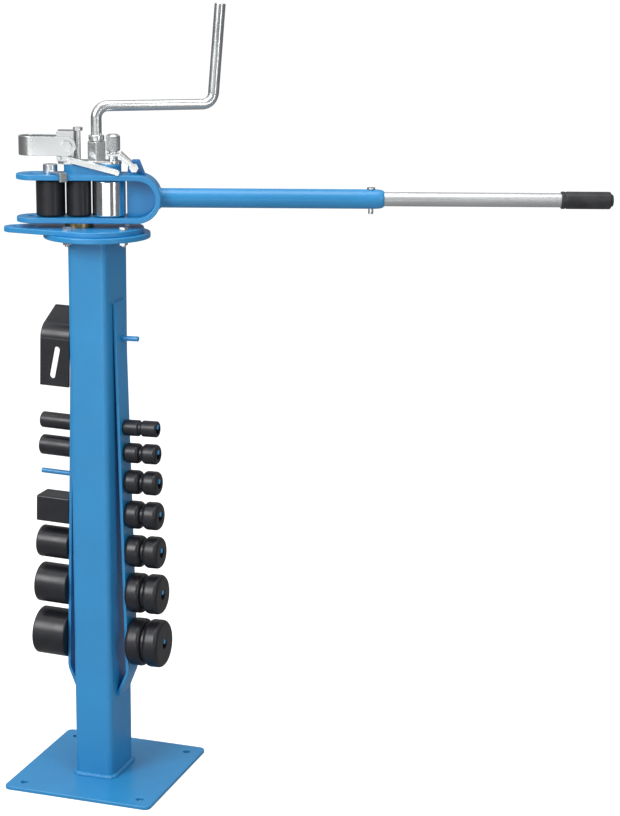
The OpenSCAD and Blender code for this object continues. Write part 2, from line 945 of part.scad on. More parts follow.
// U-shaped strip whose two legs swing on the strap bolt
module hold_strap() {
    end = strap_out - strap_reach;
    color(zinc)
    in_fork()
    translate([0, 0, strap_z])
    difference() {
        intersection() {
            translate([0, 0, -strap_h / 2]) linear_extrude(strap_h)
            difference() {
                oblong(end, strap_bolt_x + strap_h, strap_out);
                oblong(end, strap_bolt_x + 2 * strap_h, strap_in);
                translate([strap_bolt_x + strap_h, -strap_out - 1])
                    square(2 * strap_out + 2);
            }
            slab(2 * strap_out + 2) {
                translate([strap_bolt_x, 0]) circle(strap_h / 2);
                translate([-strap_reach - 1, -strap_h / 2])
                    square([strap_reach + 1 + strap_bolt_x, strap_h]);
            }
        }
        translate([strap_bolt_x, 0, 0]) rotate([90, 0, 0])
            cylinder(d = strap_bolt_d + 2 * pin_play, h = 2 * strap_out + 2, center = true);
    }
}

module screw_column() {
    color(zinc)
    in_fork()
    translate([screw_x, 0, link_top])
    difference() {
        rotate([0, 0, 30]) hex_prism(column_af, column_h);
        translate([0, 0, -1]) cylinder(d = screw_hole_d, h = column_h + 2);
    }
}

// Lug with a raised back, cut to sit on the arm and the start of the bend
module stay_lug() {
    color(blue)
    in_fork()
    difference() {
        slab(lug_t) polygon([
            [lug_bolt_x - 10, up_top - arm_t],
            [lug_bolt_x - 10, up_top + lug_bolt_z],
            [lug_bolt_x - 3, up_top + lug_h],
            [lug_bolt_x + 8, up_top + lug_h],
            [lug_bolt_x + 20, up_top - arm_t]
        ]);
        yoke_body();
        translate([lug_bolt_x, 0, lug_bolt_up]) rotate([90, 0, 0])
            cylinder(d = bolt_d, h = lug_t + 2, center = true);
    }
}

// Stay from a sleeve under the thumb screw down to both sides of the lug
module stay_link() {
    side = lug_t / 2 + stay_t / 2;
    eye = thumb_stud_d + 2;
    top_x = thumb_x + eye;
    dx = lug_bolt_x - top_x;
    dz = lug_bolt_up - stay_z - stay_t;
    color(zinc)
    in_fork()
    difference() {
        union() {
            translate([thumb_x, 0, link_top]) cylinder(d = thumb_stud_d + 6, h = stay_rise + 1);
            translate([thumb_x - eye, -side - stay_t / 2, stay_z])
                cube([2 * eye, 2 * side + stay_t, stay_t]);
            for (s = [-1, 1])
                translate([0, s * side, 0])
                    slab(stay_t) {
                        translate([lug_bolt_x, lug_bolt_up]) circle(stay_w / 2);
                        translate([top_x, stay_z + stay_t]) rotate(atan2(dz, dx))
                            translate([0, -stay_t]) square([norm([dx, dz]), stay_t + stay_w / 3]);
                        translate([top_x - stay_t, stay_z]) square(stay_t);
                    }
        }
        translate([thumb_x, 0, link_top - 1])
            cylinder(d = thumb_stud_d + 2 * pass_play, h = stay_rise + stay_t + 2);
        translate([lug_bolt_x, 0, lug_bolt_up]) rotate([90, 0, 0])
            cylinder(d = bolt_d, h = 4 * side, center = true);
    }
}

module stay_bolt() {
    half = lug_t / 2 + stay_t;
    color(zinc)
    in_fork()
    translate([lug_bolt_x, 0, lug_bolt_up]) rotate([90, 0, 0]) {
        cylinder(d = bolt_d, h = 2 * half, center = true);
        for (s = [0, 180])
            rotate([s, 0, 0]) translate([0, 0, half]) hex_prism(bolt_af, bolt_head_h);
    }
}

// Sloping brace in front of the boss, from the block's foot down to the arm
module brace_bar() {
    dx = brace_foot_x - brace_head_x;
    dz = brace_foot_z - brace_head_z;
    color(zinc)
    in_fork()
    difference() {
        union() {
            translate([0, -brace_y - brace_t / 2, 0])
                slab(brace_t) {
                    translate([brace_foot_x, brace_foot_z]) circle(brace_w / 2);
                    translate([brace_head_x, brace_head_z]) {
                        circle(brace_w / 2);
                        rotate(atan2(dz, dx))
                            translate([0, -brace_w * 0.49]) square([norm([dx, dz]), brace_w * 0.98]);
                    }
                }
            translate([brace_head_x, -block_d / 2, brace_head_z]) rotate([90, 0, 0])
                cylinder(d = brace_bolt_d + 1, h = brace_y - block_d / 2 + 1);
        }
        translate([brace_head_x, 0, brace_head_z]) rotate([90, 0, 0])
            cylinder(d = brace_bolt_d, h = 2 * arm_w);
        translate([brace_foot_x, 0, brace_foot_z]) rotate([90, 0, 0])
            cylinder(d = brace_bolt_d, h = 2 * arm_w);
    }
}

module brace_bolt(x, z, depth) {
    translate([x, -brace_y - brace_t, z]) rotate([90, 0, 0]) {
        translate([0, 0, -depth]) cylinder(d = brace_bolt_d, h = depth + 1);
        hex_prism(brace_bolt_af, brace_bolt_d * 0.7);
    }
}

module brace_bolts() {
    color(zinc)
    in_fork() {
        brace_bolt(brace_head_x, brace_head_z, brace_t + brace_y - block_d / 2);
        brace_bolt(brace_foot_x, brace_foot_z, brace_t);
    }
}

module thumb_screw() {
    head_z = link_top + thumb_neck;
    shoulder = 4;
    color(zinc)
    in_fork()
    translate([thumb_x, 0, 0]) {
        translate([0, 0, boss_top - thumb_seat])
            cylinder(d = thumb_stud_d, h = head_z - boss_top + thumb_seat + 1);
        translate([0, 0, stay_z + stay_t])
            cylinder(d = thumb_stud_d + shoulder, h = thumb_neck - stay_rise - stay_t);
        translate([0, 0, head_z]) cylinder(d = thumb_d, h = thumb_h);
    }
}

module brake_pad() {
    color(bronze)
    in_fork() translate([screw_x, 0, pad_z]) cylinder(d = screw_d, h = pad_h);
}

// Screw, collar and rod bent twice into arm and handle
module crank_handle() {
    r = crank_bend_r;
    up = 90 - crank_lean;
    color(zinc)
    in_fork()
    translate([screw_x, 0, 0])
    rotate([0, 0, crank_turn]) {
        translate([0, 0, pad_top]) cylinder(d = screw_d, h = collar_z - pad_top + 1);
        translate([0, 0, collar_z]) cylinder(d = collar_d, h = collar_h);
        translate([0, 0, collar_z + 1]) cylinder(d = crank_d, h = crank_z - r - collar_z - 1);
        translate([r, 0, crank_z - r]) rotate([90, 0, 0]) rotate([0, 0, 90])
            rotate_extrude(angle = 90) translate([r, 0]) circle(d = crank_d);
        translate([r, 0, crank_z]) rotate([0, 90, 0]) cylinder(d = crank_d, h = crank_arm - 2 * r);
        translate([crank_arm - r, 0, crank_z + r]) {
            rotate([90, 0, 0]) rotate([0, 0, -90])
                rotate_extrude(angle = up) translate([r, 0]) circle(d = crank_d);
            rotate([0, crank_lean, 0]) translate([r, 0, -1])
                cylinder(d = crank_d + 2 * handle_step, h = crank_grip - r + 1);
        }
    }
}

base_plate();
foot_weld();
post_tube();
top_weld();
top_flange();
head_plate();
flange_bolts();
king_pin();
thrust_washer();
rack_strip_left();
rack_strip_right();
rack_pegs_left();
rack_pegs_right();
fork_arm_lower();
fork_arm_upper();
fork_bend();
bend_web();
lever_socket();
lever_extension();
lever_grip();
plated_roller_pin();
pivot_boss();
link_plate();
strap_block();
block_bolt();
strap_bolt();
screw_column();
stay_lug();
stay_link();
stay_bolt();
brace_bar();
brace_bolts();
centre_die();
bend_roller();
plated_roller();
pull_pin();
cross_pin();
brake_pad();
crank_handle();
hold_strap();
thumb_screw();
grooved_hung(0);  // grooved_die_1
grooved_hung(1);  // grooved_die_2
grooved_hung(2);  // grooved_die_3
grooved_hung(3);  // grooved_die_4
grooved_hung(4);  // grooved_die_5
grooved_hung(5);  // grooved_die_6
grooved_hung(6);  // grooved_die_7
plain_hung(0);  // plain_die_1
plain_hung(1);  // plain_die_2
plain_hung(4);  // plain_die_5
plain_hung(5);  // plain_die_6
plain_hung(6);  // plain_die_7
square_die();
slotted_bracket();
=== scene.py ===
"""Looks of a pedestal flat bar bender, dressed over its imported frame.

Every solid of the frame gets rounded edges and a finish of its own. Weld beads,
fasteners, the thumb screw's knurl and the grip are modelled here. Sizes are in
metres, in the frame's own axes: +X to the right, +Y to the back, +Z up.
"""

import json
import logging
from dataclasses import dataclass
from enum import Enum
from functools import cache
from math import cos, pi, radians, sin, sqrt, tan
from typing import Iterable, Sequence

import bmesh
import bpy
from mathutils import Euler, Matrix, Vector

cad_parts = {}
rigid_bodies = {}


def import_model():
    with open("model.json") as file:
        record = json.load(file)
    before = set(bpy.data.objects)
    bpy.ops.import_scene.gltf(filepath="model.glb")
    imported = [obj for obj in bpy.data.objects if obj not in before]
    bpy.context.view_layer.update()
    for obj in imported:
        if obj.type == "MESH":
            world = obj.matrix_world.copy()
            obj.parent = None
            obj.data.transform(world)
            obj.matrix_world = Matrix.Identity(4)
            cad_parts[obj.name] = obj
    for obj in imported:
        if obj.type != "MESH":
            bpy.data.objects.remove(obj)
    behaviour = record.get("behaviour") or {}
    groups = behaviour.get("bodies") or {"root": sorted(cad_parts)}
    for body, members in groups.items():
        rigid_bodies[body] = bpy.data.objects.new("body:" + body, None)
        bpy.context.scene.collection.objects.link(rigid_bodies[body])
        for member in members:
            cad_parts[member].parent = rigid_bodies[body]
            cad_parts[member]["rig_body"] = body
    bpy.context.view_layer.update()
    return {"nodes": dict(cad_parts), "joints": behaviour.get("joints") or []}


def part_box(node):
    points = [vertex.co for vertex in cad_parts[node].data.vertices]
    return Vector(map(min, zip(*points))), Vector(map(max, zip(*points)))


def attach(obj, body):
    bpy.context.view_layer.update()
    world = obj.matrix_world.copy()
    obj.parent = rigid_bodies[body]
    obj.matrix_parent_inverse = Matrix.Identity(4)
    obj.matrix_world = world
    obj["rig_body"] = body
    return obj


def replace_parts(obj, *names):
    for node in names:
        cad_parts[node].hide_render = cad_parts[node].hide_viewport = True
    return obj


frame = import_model()

LOG = logging.getLogger("bender")
MM = 0.001
EDGE_BAND = "edge_band"
MERGE_GAP = 0.004 * MM
FLAT_DEG = 0.4
NO_RADIUS = 1e-7
NUMBER = "NodeSocketFloat"
WHOLE_NUMBER = "NodeSocketInt"
SHAPE = "NodeSocketGeometry"
ROUND_EDGES = {"affect": "EDGES", "profile": 0.5, "clamp_overlap": False}

Colour = tuple[float, float, float]
Point = tuple[float, float, float]
Profile = list[tuple[float, float]]
Path = tuple[Sequence[Vector], bool]
Input = tuple[str, str, object]
Node = bpy.types.Node
Socket = bpy.types.NodeSocket
Tree = bpy.types.NodeTree
Object = bpy.types.Object
Mesh = bpy.types.Mesh
BMesh = bmesh.types.BMesh
Corner = bmesh.types.BMVert
Material = bpy.types.Material


def joint(name: str) -> dict:
    """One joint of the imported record, by its name."""
    return next(j for j in frame["joints"] if j["name"] == name)


# Shader building


class Wiring:
    """Adds nodes to one node tree and joins their sockets."""

    def __init__(self, tree: Tree) -> None:
        """Keeps the tree that the nodes go into."""
        self.tree = tree

    def add(self, kind: str, **settings: object) -> Node:
        """Adds a node and sets its own properties.

        Args:
            kind: Blender's type name of the node.
            settings: Properties of the node by name.

        Returns:
            The new node.
        """
        node = self.tree.nodes.new(kind)
        for name, value in settings.items():
            setattr(node, name, value)
        return node

    def join(self, source: Socket, target: Socket) -> None:
        """Links one output to one input."""
        self.tree.links.new(source, target)

    def give(self, target: Socket, value: object) -> None:
        """Links an input to a socket, or sets it to a plain value.

        Args:
            target: The input.
            value: An output socket, or the value itself.
        """
        if isinstance(value, Socket):
            self.join(value, target)
        else:
            target.default_value = value

    def feed(self, node: Node, **inputs: object) -> Node:
        """Sets or links a node's inputs.

        Args:
            node: The node whose inputs are fed.
            inputs: A value or an output socket for each input; spaces in an
                input's name are written as underscores.

        Returns:
            The same node.
        """
        for name, value in inputs.items():
            self.give(node.inputs[name.replace("_", " ")], value)
        return node

    def put(self, kind: str, **inputs: object) -> Node:
        """Adds a node of a kind and feeds its inputs."""
        return self.feed(self.add(kind), **inputs)

    def calc(self, operation: str, *values: object) -> Socket:
        """Adds a Math node.

        Args:
            operation: The Math node's operation.
            values: Numbers or output sockets, in the node's order.

        Returns:
            The node's output.
        """
        node = self.add("ShaderNodeMath", operation=operation)
        for socket, value in zip(node.inputs, values):
            self.give(socket, value)
        return node.outputs[0]

    def blend(self, share: Socket, first: object, second: object) -> Socket:
        """Mixes two colours.

        Args:
            share: How much of the second colour shows.
            first: First colour, as three numbers or a socket.
            second: Second colour, as three numbers or a socket.

        Returns:
            The mixed colour.
        """
        node = self.add("ShaderNodeMix", data_type="RGBA")
        self.give(node.inputs[0], share)
        # A Mix node's colours are its inputs 6 and 7, and its output 2
        for index, colour in ((6, first), (7, second)):
            self.give(node.inputs[index], colour if isinstance(colour, Socket) else (*colour, 1.0))
        return node.outputs[2]


class Effect(Enum):
    """Surface effects that several finishes share, each one a shader node group."""

    MOTTLE = "mottle"
    EDGE_WEAR = "edge_wear"
    TURNING = "turning_lines"
    PEEL = "orange_peel"


class Group(Wiring):
    """Wiring of one node group, which has named inputs and one output."""

    def __init__(self, name: str, kind: str, inputs: Iterable[Input], output: tuple[str, str]) -> None:
        """Opens the group.

        Args:
            name: Name of the group.
            kind: Blender's type name of the group.
            inputs: Name, socket type and usual value of each input.
            output: Name and socket type of the output.
        """
        super().__init__(bpy.data.node_groups.new(name, kind))
        interface = self.tree.interface
        self.keys: dict[str, str] = {}
        for label, socket_type, value in inputs:
            socket = interface.new_socket(label, in_out="INPUT", socket_type=socket_type)
            if value is not None:
                socket.default_value = value
            self.keys[label] = socket.identifier
        interface.new_socket(output[0], in_out="OUTPUT", socket_type=output[1])
        self.given = self.add("NodeGroupInput").outputs
        self.end = self.add("NodeGroupOutput")

    def close(self, result: Socket) -> Tree:
        """Puts the result out and hands over the finished group."""
        self.join(result, self.end.inputs[0])
        return self.tree


class EffectGroup(Group):
    """Wiring of one shared effect: a vector and some numbers go in, one number comes out."""

    def __init__(self, effect: Effect, output: str, **numbers: float) -> None:
        """Opens the group.

        Args:
            effect: The effect whose name the group takes.
            output: Name of the output.
            numbers: Number inputs and their usual values.
        """
        inputs: list[Input] = [("Vector", "NodeSocketVector", None)]
        inputs += [(name, NUMBER, value) for name, value in numbers.items()]
        super().__init__(effect.value, "ShaderNodeTree", inputs, (output, NUMBER))

    def noise(self, detail: float, roughness: float) -> Socket:
        """Noise over the group's vector, at its scale.

        Args:
            detail: Number of finer layers.
            roughness: Strength of the finer layers.

        Returns:
            The noise, from 0 to 1.
        """
        return self.put("ShaderNodeTexNoise", Vector=self.given["Vector"], Scale=self.given["Scale"],
                        Detail=detail, Roughness=roughness).outputs[0]


def mottle_group() -> Tree:
    """Soft clouds between a low and a high value.

    Returns:
        The finished group.
    """
    group = EffectGroup(Effect.MOTTLE, "Value", Scale=20.0, Low=0.0, High=1.0)
    spread = group.put("ShaderNodeMapRange", Value=group.noise(detail=4.0, roughness=0.55),
                       From_Min=0.3, From_Max=0.7, To_Min=group.given["Low"], To_Max=group.given["High"])
    return group.close(spread.outputs[0])


def edge_wear_and_highlight_group() -> Tree:
    """Spots along the rounded edges of a piece, where its edge colour shows: rubbed wear on metal, a painted
    highlight on the powder coat.

    Returns:
        The finished group.
    """
    group = EffectGroup(Effect.EDGE_WEAR, "Mask", Scale=90.0, Amount=0.5)
    band = group.add("ShaderNodeAttribute", attribute_name=EDGE_BAND)
    patches = group.put("ShaderNodeMapRange", Value=group.noise(detail=3.0, roughness=0.6),
                        From_Min=0.42, From_Max=0.62)
    worn = group.calc("MULTIPLY", band.outputs["Fac"], patches.outputs[0])
    return group.close(group.calc("MULTIPLY", worn, group.given["Amount"]))


def turning_group() -> Tree:
    """Fine rings left by a lathe, along the vector's X.

    Returns:
        The finished group.
    """
    group = EffectGroup(Effect.TURNING, "Line", Scale=1500.0)
    along = group.put("ShaderNodeSeparateXYZ", Vector=group.given["Vector"])
    rings = group.add("ShaderNodeTexNoise", noise_dimensions="1D")
    group.feed(rings, W=along.outputs["X"], Scale=group.given["Scale"], Detail=3.0, Roughness=0.7)
    return group.close(rings.outputs[0])


def peel_group() -> Tree:
    """Low waves, as on a powder coat."""
    group = EffectGroup(Effect.PEEL, "Height", Scale=420.0)
    return group.close(group.noise(detail=1.5, roughness=0.4))


@cache
def effect_group(effect: Effect) -> Tree:
    """The group of a shared effect, built at its first use.

    Args:
        effect: Which effect.

    Returns:
        Its group.
    """
    makers = {Effect.MOTTLE: mottle_group, Effect.EDGE_WEAR: edge_wear_and_highlight_group,
              Effect.TURNING: turning_group, Effect.PEEL: peel_group}
    return makers[effect]()


class Surface(Wiring):
    """Wiring of one material whose patterns read Object coordinates."""

    def __init__(self, name: str) -> None:
        """Opens a material.

        Args:
            name: The material's name.
        """
        self.material = bpy.data.materials.new(name)
        self.material.use_nodes = True
        super().__init__(self.material.node_tree)
        self.shader = self.tree.nodes["Principled BSDF"]
        self.place = self.add("ShaderNodeTexCoord").outputs["Object"]

    def effect(self, effect: Effect, place: Socket | None = None, **inputs: object) -> Socket:
        """Places one shared effect.

        Args:
            effect: Which effect.
            place: Coordinates other than the object's own.
            inputs: The group's other inputs by name.

        Returns:
            The effect's output.
        """
        node = self.add("ShaderNodeGroup", node_tree=effect_group(effect))
        return self.feed(node, Vector=place or self.place, **inputs).outputs[0]

    def mottle(self, scale: float, low: float = 0.0, high: float = 1.0) -> Socket:
        """Soft clouds between two values."""
        return self.effect(Effect.MOTTLE, Scale=scale, Low=low, High=high)

    def shade(self, **inputs: object) -> None:
        """Sets or links inputs of the Principled shader."""
        self.feed(self.shader, **inputs)

    def bump(self, height: Socket, depth: float, strength: float) -> None:
        """Puts a height on the shader's normal.

        Args:
            height: The height, from 0 to 1.
            depth: Depth of the relief.
            strength: Share of the relief that shows.
        """
        bump = self.put("ShaderNodeBump", Height=height, Distance=depth, Strength=strength)
        self.shade(Normal=bump.outputs[0])


class Turned(Enum):
    """Axis that a turned piece was made about, by the joint that runs along it."""

    UPRIGHT = "fork_swing"
    RACK_RIGHT = "grooved_die_1_off"
    RACK_LEFT = "plain_die_1_off"

    def lay(self) -> Euler:
        """The turn that lays the axis along X."""
        return Vector(joint(self.value)["axis"]).rotation_difference(Vector((1, 0, 0))).to_euler()


@dataclass(frozen=True)
class Finish:
    """What every finish has: a name, and the record's material slot."""

    name: str
    slot: str

    @cache
    def material(self) -> Material:
        """Makes the material at its first use.

        Returns:
            The finished material.
        """
        surface = Surface(self.name)
        self.wire(surface)
        return surface.material

    def wire(self, surface: Surface) -> None:
        """Wires the finish's own nodes, which each kind of finish has."""
        raise NotImplementedError


@dataclass(frozen=True)
class PaintFinish(Finish):
    """Powder coat: low waves, a little mottle, and a painted highlight: its rounded edges painted lighter.
    """

    colour: Colour
    edge_wear_and_highlight_colour: Colour
    deeper: float = 0.9
    cloud_scale: float = 9.0
    wear_and_highlight: float = 0.5
    wear_and_highlight_scale: float = 70.0
    roughness: tuple[float, float] = (0.29, 0.42)
    smear_scale: float = 24.0
    peel_scale: float = 420.0
    peel_depth: float = 0.06 * MM
    peel_strength: float = 0.35
    coat: float = 0.15
    coat_roughness: float = 0.2

    def wire(self, surface: Surface) -> None:
        """Wires the coat's nodes.

        Args:
            surface: The material's wiring.
        """
        shade = tuple(self.deeper * c for c in self.colour)
        body = surface.blend(surface.mottle(self.cloud_scale), self.colour, shade)
        # Painted highlight: the coat's rounded edges are painted lighter in spots, as if they caught the
        # light.
        edges = surface.effect(Effect.EDGE_WEAR, Scale=self.wear_and_highlight_scale, Amount=self.wear_and_highlight)
        surface.shade(Base_Color=surface.blend(edges, body, self.edge_wear_and_highlight_colour),
                     Roughness=surface.mottle(self.smear_scale, *self.roughness),
                     Coat_Weight=self.coat, Coat_Roughness=self.coat_roughness)
        waves = surface.effect(Effect.PEEL, Scale=self.peel_scale)
        surface.bump(waves, self.peel_depth, self.peel_strength)


@dataclass(frozen=True)
class MetalFinish(Finish):
    """Bare, plated or blackened metal, with lathe lines where it was turned."""

    colour: Colour
    shade: Colour
    edge_wear_and_highlight_colour: Colour
    roughness: tuple[float, float]
    metallic: float = 1.0
    wear_and_highlight: float = 0.4
    wear_and_highlight_scale: float = 120.0
    turned: Turned | None = None
    line_scale: float = 1600.0
    line_depth: float = 0.03 * MM
    line_strength: float = 0.5
    line_rough: float = 0.12
    grain_scale: float = 60.0
    smear_share: float = 0.6

    def wire(self, surface: Surface) -> None:
        """Wires the metal's nodes.

        Args:
            surface: The material's wiring.
        """
        marks = self.marks(surface)
        body = surface.blend(surface.mottle(self.grain_scale), self.colour, self.shade)
        edges = surface.effect(Effect.EDGE_WEAR, Scale=self.wear_and_highlight_scale, Amount=self.wear_and_highlight)
        smears = surface.mottle(self.grain_scale * self.smear_share, *self.roughness)
        level = surface.calc("SUBTRACT", smears, self.line_rough / 2)
        surface.shade(Base_Color=surface.blend(edges, body, self.edge_wear_and_highlight_colour),
                     Roughness=surface.calc("MULTIPLY_ADD", marks, self.line_rough, level),
                     Metallic=self.metallic)
        surface.bump(marks, self.line_depth, self.line_strength)

    def marks(self, surface: Surface) -> Socket:
        """Lathe lines about the axis that a piece was turned on, or else a fine grain.

        Args:
            surface: The material's wiring.

        Returns:
            The height of the marks, from 0 to 1.
        """
        if self.turned is None:
            return surface.effect(Effect.PEEL, Scale=self.line_scale)
        laid = surface.put("ShaderNodeMapping", Vector=surface.place, Rotation=self.turned.lay())
        return surface.effect(Effect.TURNING, laid.outputs[0], Scale=self.line_scale)


@dataclass(frozen=True)
class GripFinish(Finish):
    """Moulded grip: black, faintly pebbled, polished by hands in patches."""

    colour: Colour
    polished: Colour
    cloud_scale: float = 45.0
    roughness: tuple[float, float] = (0.34, 0.5)
    rub_scale: float = 30.0
    pebble_scale: float = 1300.0
    pebble_depth: float = 0.08 * MM
    pebble_strength: float = 0.4

    def wire(self, surface: Surface) -> None:
        """Wires the grip's nodes.

        Args:
            surface: The material's wiring.
        """
        clouds = surface.mottle(self.cloud_scale)
        surface.shade(Base_Color=surface.blend(clouds, self.colour, self.polished),
                     Roughness=surface.mottle(self.rub_scale, *self.roughness))
        pebbles = surface.effect(Effect.PEEL, Scale=self.pebble_scale)
        surface.bump(pebbles, self.pebble_depth, self.pebble_strength)


# The blue coat's second colour is its painted edge highlight, lighter than the coat itself.
BLUE = PaintFinish("blue_powder_coat", "blue_paint", (0.022, 0.248, 0.54), (0.04, 0.29, 0.58))
# Painted shade: a darker copy of the same blue coat, standing in for the shade that falls on the lug.
SHADED_LUG_BLUE = PaintFinish("deep_blue_powder_coat", "blue_paint", (0.015, 0.14, 0.38), (0.03, 0.19, 0.46))
ZINC = MetalFinish(
    "bright_zinc", "zinc_plate", (0.76, 0.775, 0.77), (0.68, 0.7, 0.705), (0.8, 0.81, 0.81),
    (0.22, 0.32), line_scale=260.0, line_depth=0.003 * MM, line_rough=0.03, grain_scale=25.0)
ZINC_TUBE = MetalFinish(
    "zinc_tube", "zinc_plate", (0.72, 0.735, 0.74), (0.66, 0.68, 0.69), (0.8, 0.82, 0.82),
    (0.36, 0.42), line_scale=120.0, line_depth=0.004 * MM, line_rough=0.02, grain_scale=10.0)
CHROME = MetalFinish(
    "hard_chrome", "chrome_plate", (0.8, 0.81, 0.82), (0.7, 0.71, 0.73), (0.9, 0.9, 0.9),
    (0.1, 0.2), turned=Turned.UPRIGHT, line_scale=1800.0)
BRONZE = MetalFinish(
    "bearing_bronze", "bronze", (0.5, 0.32, 0.13), (0.38, 0.24, 0.1), (0.66, 0.46, 0.22),
    (0.28, 0.42), turned=Turned.UPRIGHT)
GRIP = GripFinish("black_grip", "grip_rubber", (0.012, 0.012, 0.014), (0.03, 0.031, 0.036))


def blackened(turned: Turned | None = None) -> MetalFinish:
    """Oiled black oxide, with lathe lines where a piece was turned.

    Args:
        turned: Axis that the piece was turned about, if it was.

    Returns:
        The finish.
    """
    suffix = "plate" if turned is None else turned.name.lower()
    return MetalFinish(
        f"black_oxide_{suffix}", "black_oxide", (0.016, 0.0165, 0.021), (0.011, 0.011, 0.014),
        (0.05, 0.052, 0.058), (0.3, 0.42), metallic=0.15, wear_and_highlight=0.5, turned=turned, line_scale=1300.0)


# Mesh building


def new_object(name: str, data: bpy.types.ID) -> Object:
    """Puts a mesh, a light or a camera in the scene as an object at the origin.

    Args:
        name: Name of the object.
        data: What the object shows.

    Returns:
        The new object.
    """
    obj = bpy.data.objects.new(name, data)
    bpy.context.scene.collection.objects.link(obj)
    return obj


def as_mesh(bm: BMesh, name: str) -> Mesh:
    """Turns a bmesh into a mesh.

    Args:
        bm: The bmesh, which is used up.
        name: Name of the mesh.

    Returns:
        The new mesh.
    """
    mesh = bpy.data.meshes.new(name)
    bm.to_mesh(mesh)
    bm.free()
    return mesh


def flatten(obj: Object) -> Object:
    """Replaces an object's mesh by what its modifiers make of it, and drops them.

    Args:
        obj: The object.

    Returns:
        The same object, as a plain mesh.
    """
    graph = bpy.context.evaluated_depsgraph_get()
    graph.update()
    plain = bpy.data.meshes.new_from_object(obj.evaluated_get(graph), depsgraph=graph)
    obj.modifiers.clear()
    obj.data = plain
    return obj


def sharpen(obj: Object, sharp_deg: float) -> None:
    """Keeps the edges of a smooth object sharp that are sharper than an angle."""
    obj.data.set_sharp_from_angle(angle=radians(sharp_deg))


def smooth(obj: Object, sharp_deg: float = 40.0) -> Object:
    """Shades an object smooth, with large faces kept flat.

    Args:
        obj: The object.
        sharp_deg: Edges sharper than this stay sharp.

    Returns:
        The same object, as a plain mesh.
    """
    obj.data.shade_smooth()
    sharpen(obj, sharp_deg)
    weighted = obj.modifiers.new("flat_faces", "WEIGHTED_NORMAL")
    weighted.keep_sharp = True
    return flatten(obj)


def around(radius: float, angle: float, height: float = 0.0) -> Vector:
    """Point at a radius and an angle about Z, at a height."""
    return Vector((radius * cos(angle), radius * sin(angle), height))


def sweep(start: float, stop: float, steps: int = 6) -> list[float]:
    """Angles in even steps from one to another, which are given in degrees."""
    return [radians(start + (stop - start) * i / steps) for i in range(steps + 1)]


def arc(x: float, y: float, radius: float, start: float, stop: float) -> Profile:
    """Points on an arc about a centre in a profile, between two angles in degrees."""
    return [(x + radius * cos(a), y + radius * sin(a)) for a in sweep(start, stop)]


@dataclass(frozen=True)
class Bend:
    """Fold of a plate along Y: widths of its round outside and inside, and how far out it lies."""

    outer: float
    inner: float
    beyond: float
    segments: int = 6
    least_deg: float = 5.0
    straight: float = 0.999


@dataclass(frozen=True)
class Rounding:
    """How the sharp edges of a solid are broken."""

    width: float = 0.6 * MM
    segments: int = 2
    sharp_deg: float = 32.0
    bend: Bend | None = None


PLATE_EDGE = Rounding(1.2 * MM, 3)
BOSS_EDGE = Rounding(1.5 * MM, 3)
CUT_EDGE = Rounding(0.8 * MM)
FINE_EDGE = Rounding(0.4 * MM)


def solid_of(*nodes: str) -> BMesh:
    """Copies solids of the frame into one mesh.

    Args:
        nodes: Names of the solids.

    Returns:
        The mesh as a bmesh.
    """
    bm = bmesh.new()
    for node in nodes:
        bm.from_mesh(frame["nodes"][node].data)
    return bm


def rounded(bm: BMesh, name: str, rounding: Rounding) -> Object:
    """Rounds the edges of a solid.

    Args:
        bm: The solid, which is used up.
        name: Name of the object.
        rounding: How its edges are broken.

    Returns:
        A new object whose rounded edges are marked for edge wear and the painted edge highlight.
    """
    bmesh.ops.remove_doubles(bm, verts=bm.verts, dist=MERGE_GAP)
    bmesh.ops.dissolve_limit(bm, angle_limit=radians(FLAT_DEG), verts=bm.verts, edges=bm.edges)
    if rounding.bend is not None:
        fold_edges(bm, rounding.bend)
    band = bm.faces.layers.float.new(EDGE_BAND)
    limit = radians(rounding.sharp_deg)
    sharp = [e for e in bm.edges if e.is_manifold and e.calc_face_angle() > limit]
    made = bmesh.ops.bevel(bm, geom=sharp, offset=rounding.width, offset_type="OFFSET",
                           segments=rounding.segments, **ROUND_EDGES)
    for face in made["faces"]:
        face[band] = 1.0
    return smooth(new_object(name, as_mesh(bm, name)))


def fold_edges(bm: BMesh, bend: Bend) -> None:
    """Rounds the fold of a bent plate, outside and inside.

    Args:
        bm: The plate.
        bend: Where the fold lies and how wide its rounds are.
    """
    for convex, width in ((True, bend.outer), (False, bend.inner)):
        folds = [
            e for e in bm.edges
            if e.is_manifold and e.is_convex == convex
            and abs((e.verts[1].co - e.verts[0].co).normalized().y) > bend.straight
            and abs(e.verts[0].co.x) > bend.beyond
            and e.calc_face_angle() > radians(bend.least_deg)
        ]
        bmesh.ops.bevel(bm, geom=folds, offset=width, offset_type="WIDTH",
                        segments=bend.segments, **ROUND_EDGES)


def bridge(bm: BMesh, ring: list[Corner], above: list[Corner]) -> None:
    """Joins two rings of points by faces, three-cornered where a ring is a single point.

    Args:
        bm: The mesh.
        ring: Points of the first ring.
        above: As many points of the second ring.
    """
    count = len(ring)
    for i in range(count):
        j = (i + 1) % count
        corners = list(dict.fromkeys((ring[i], ring[j], above[j], above[i])))
        if len(corners) > 2:
            bm.faces.new(corners)


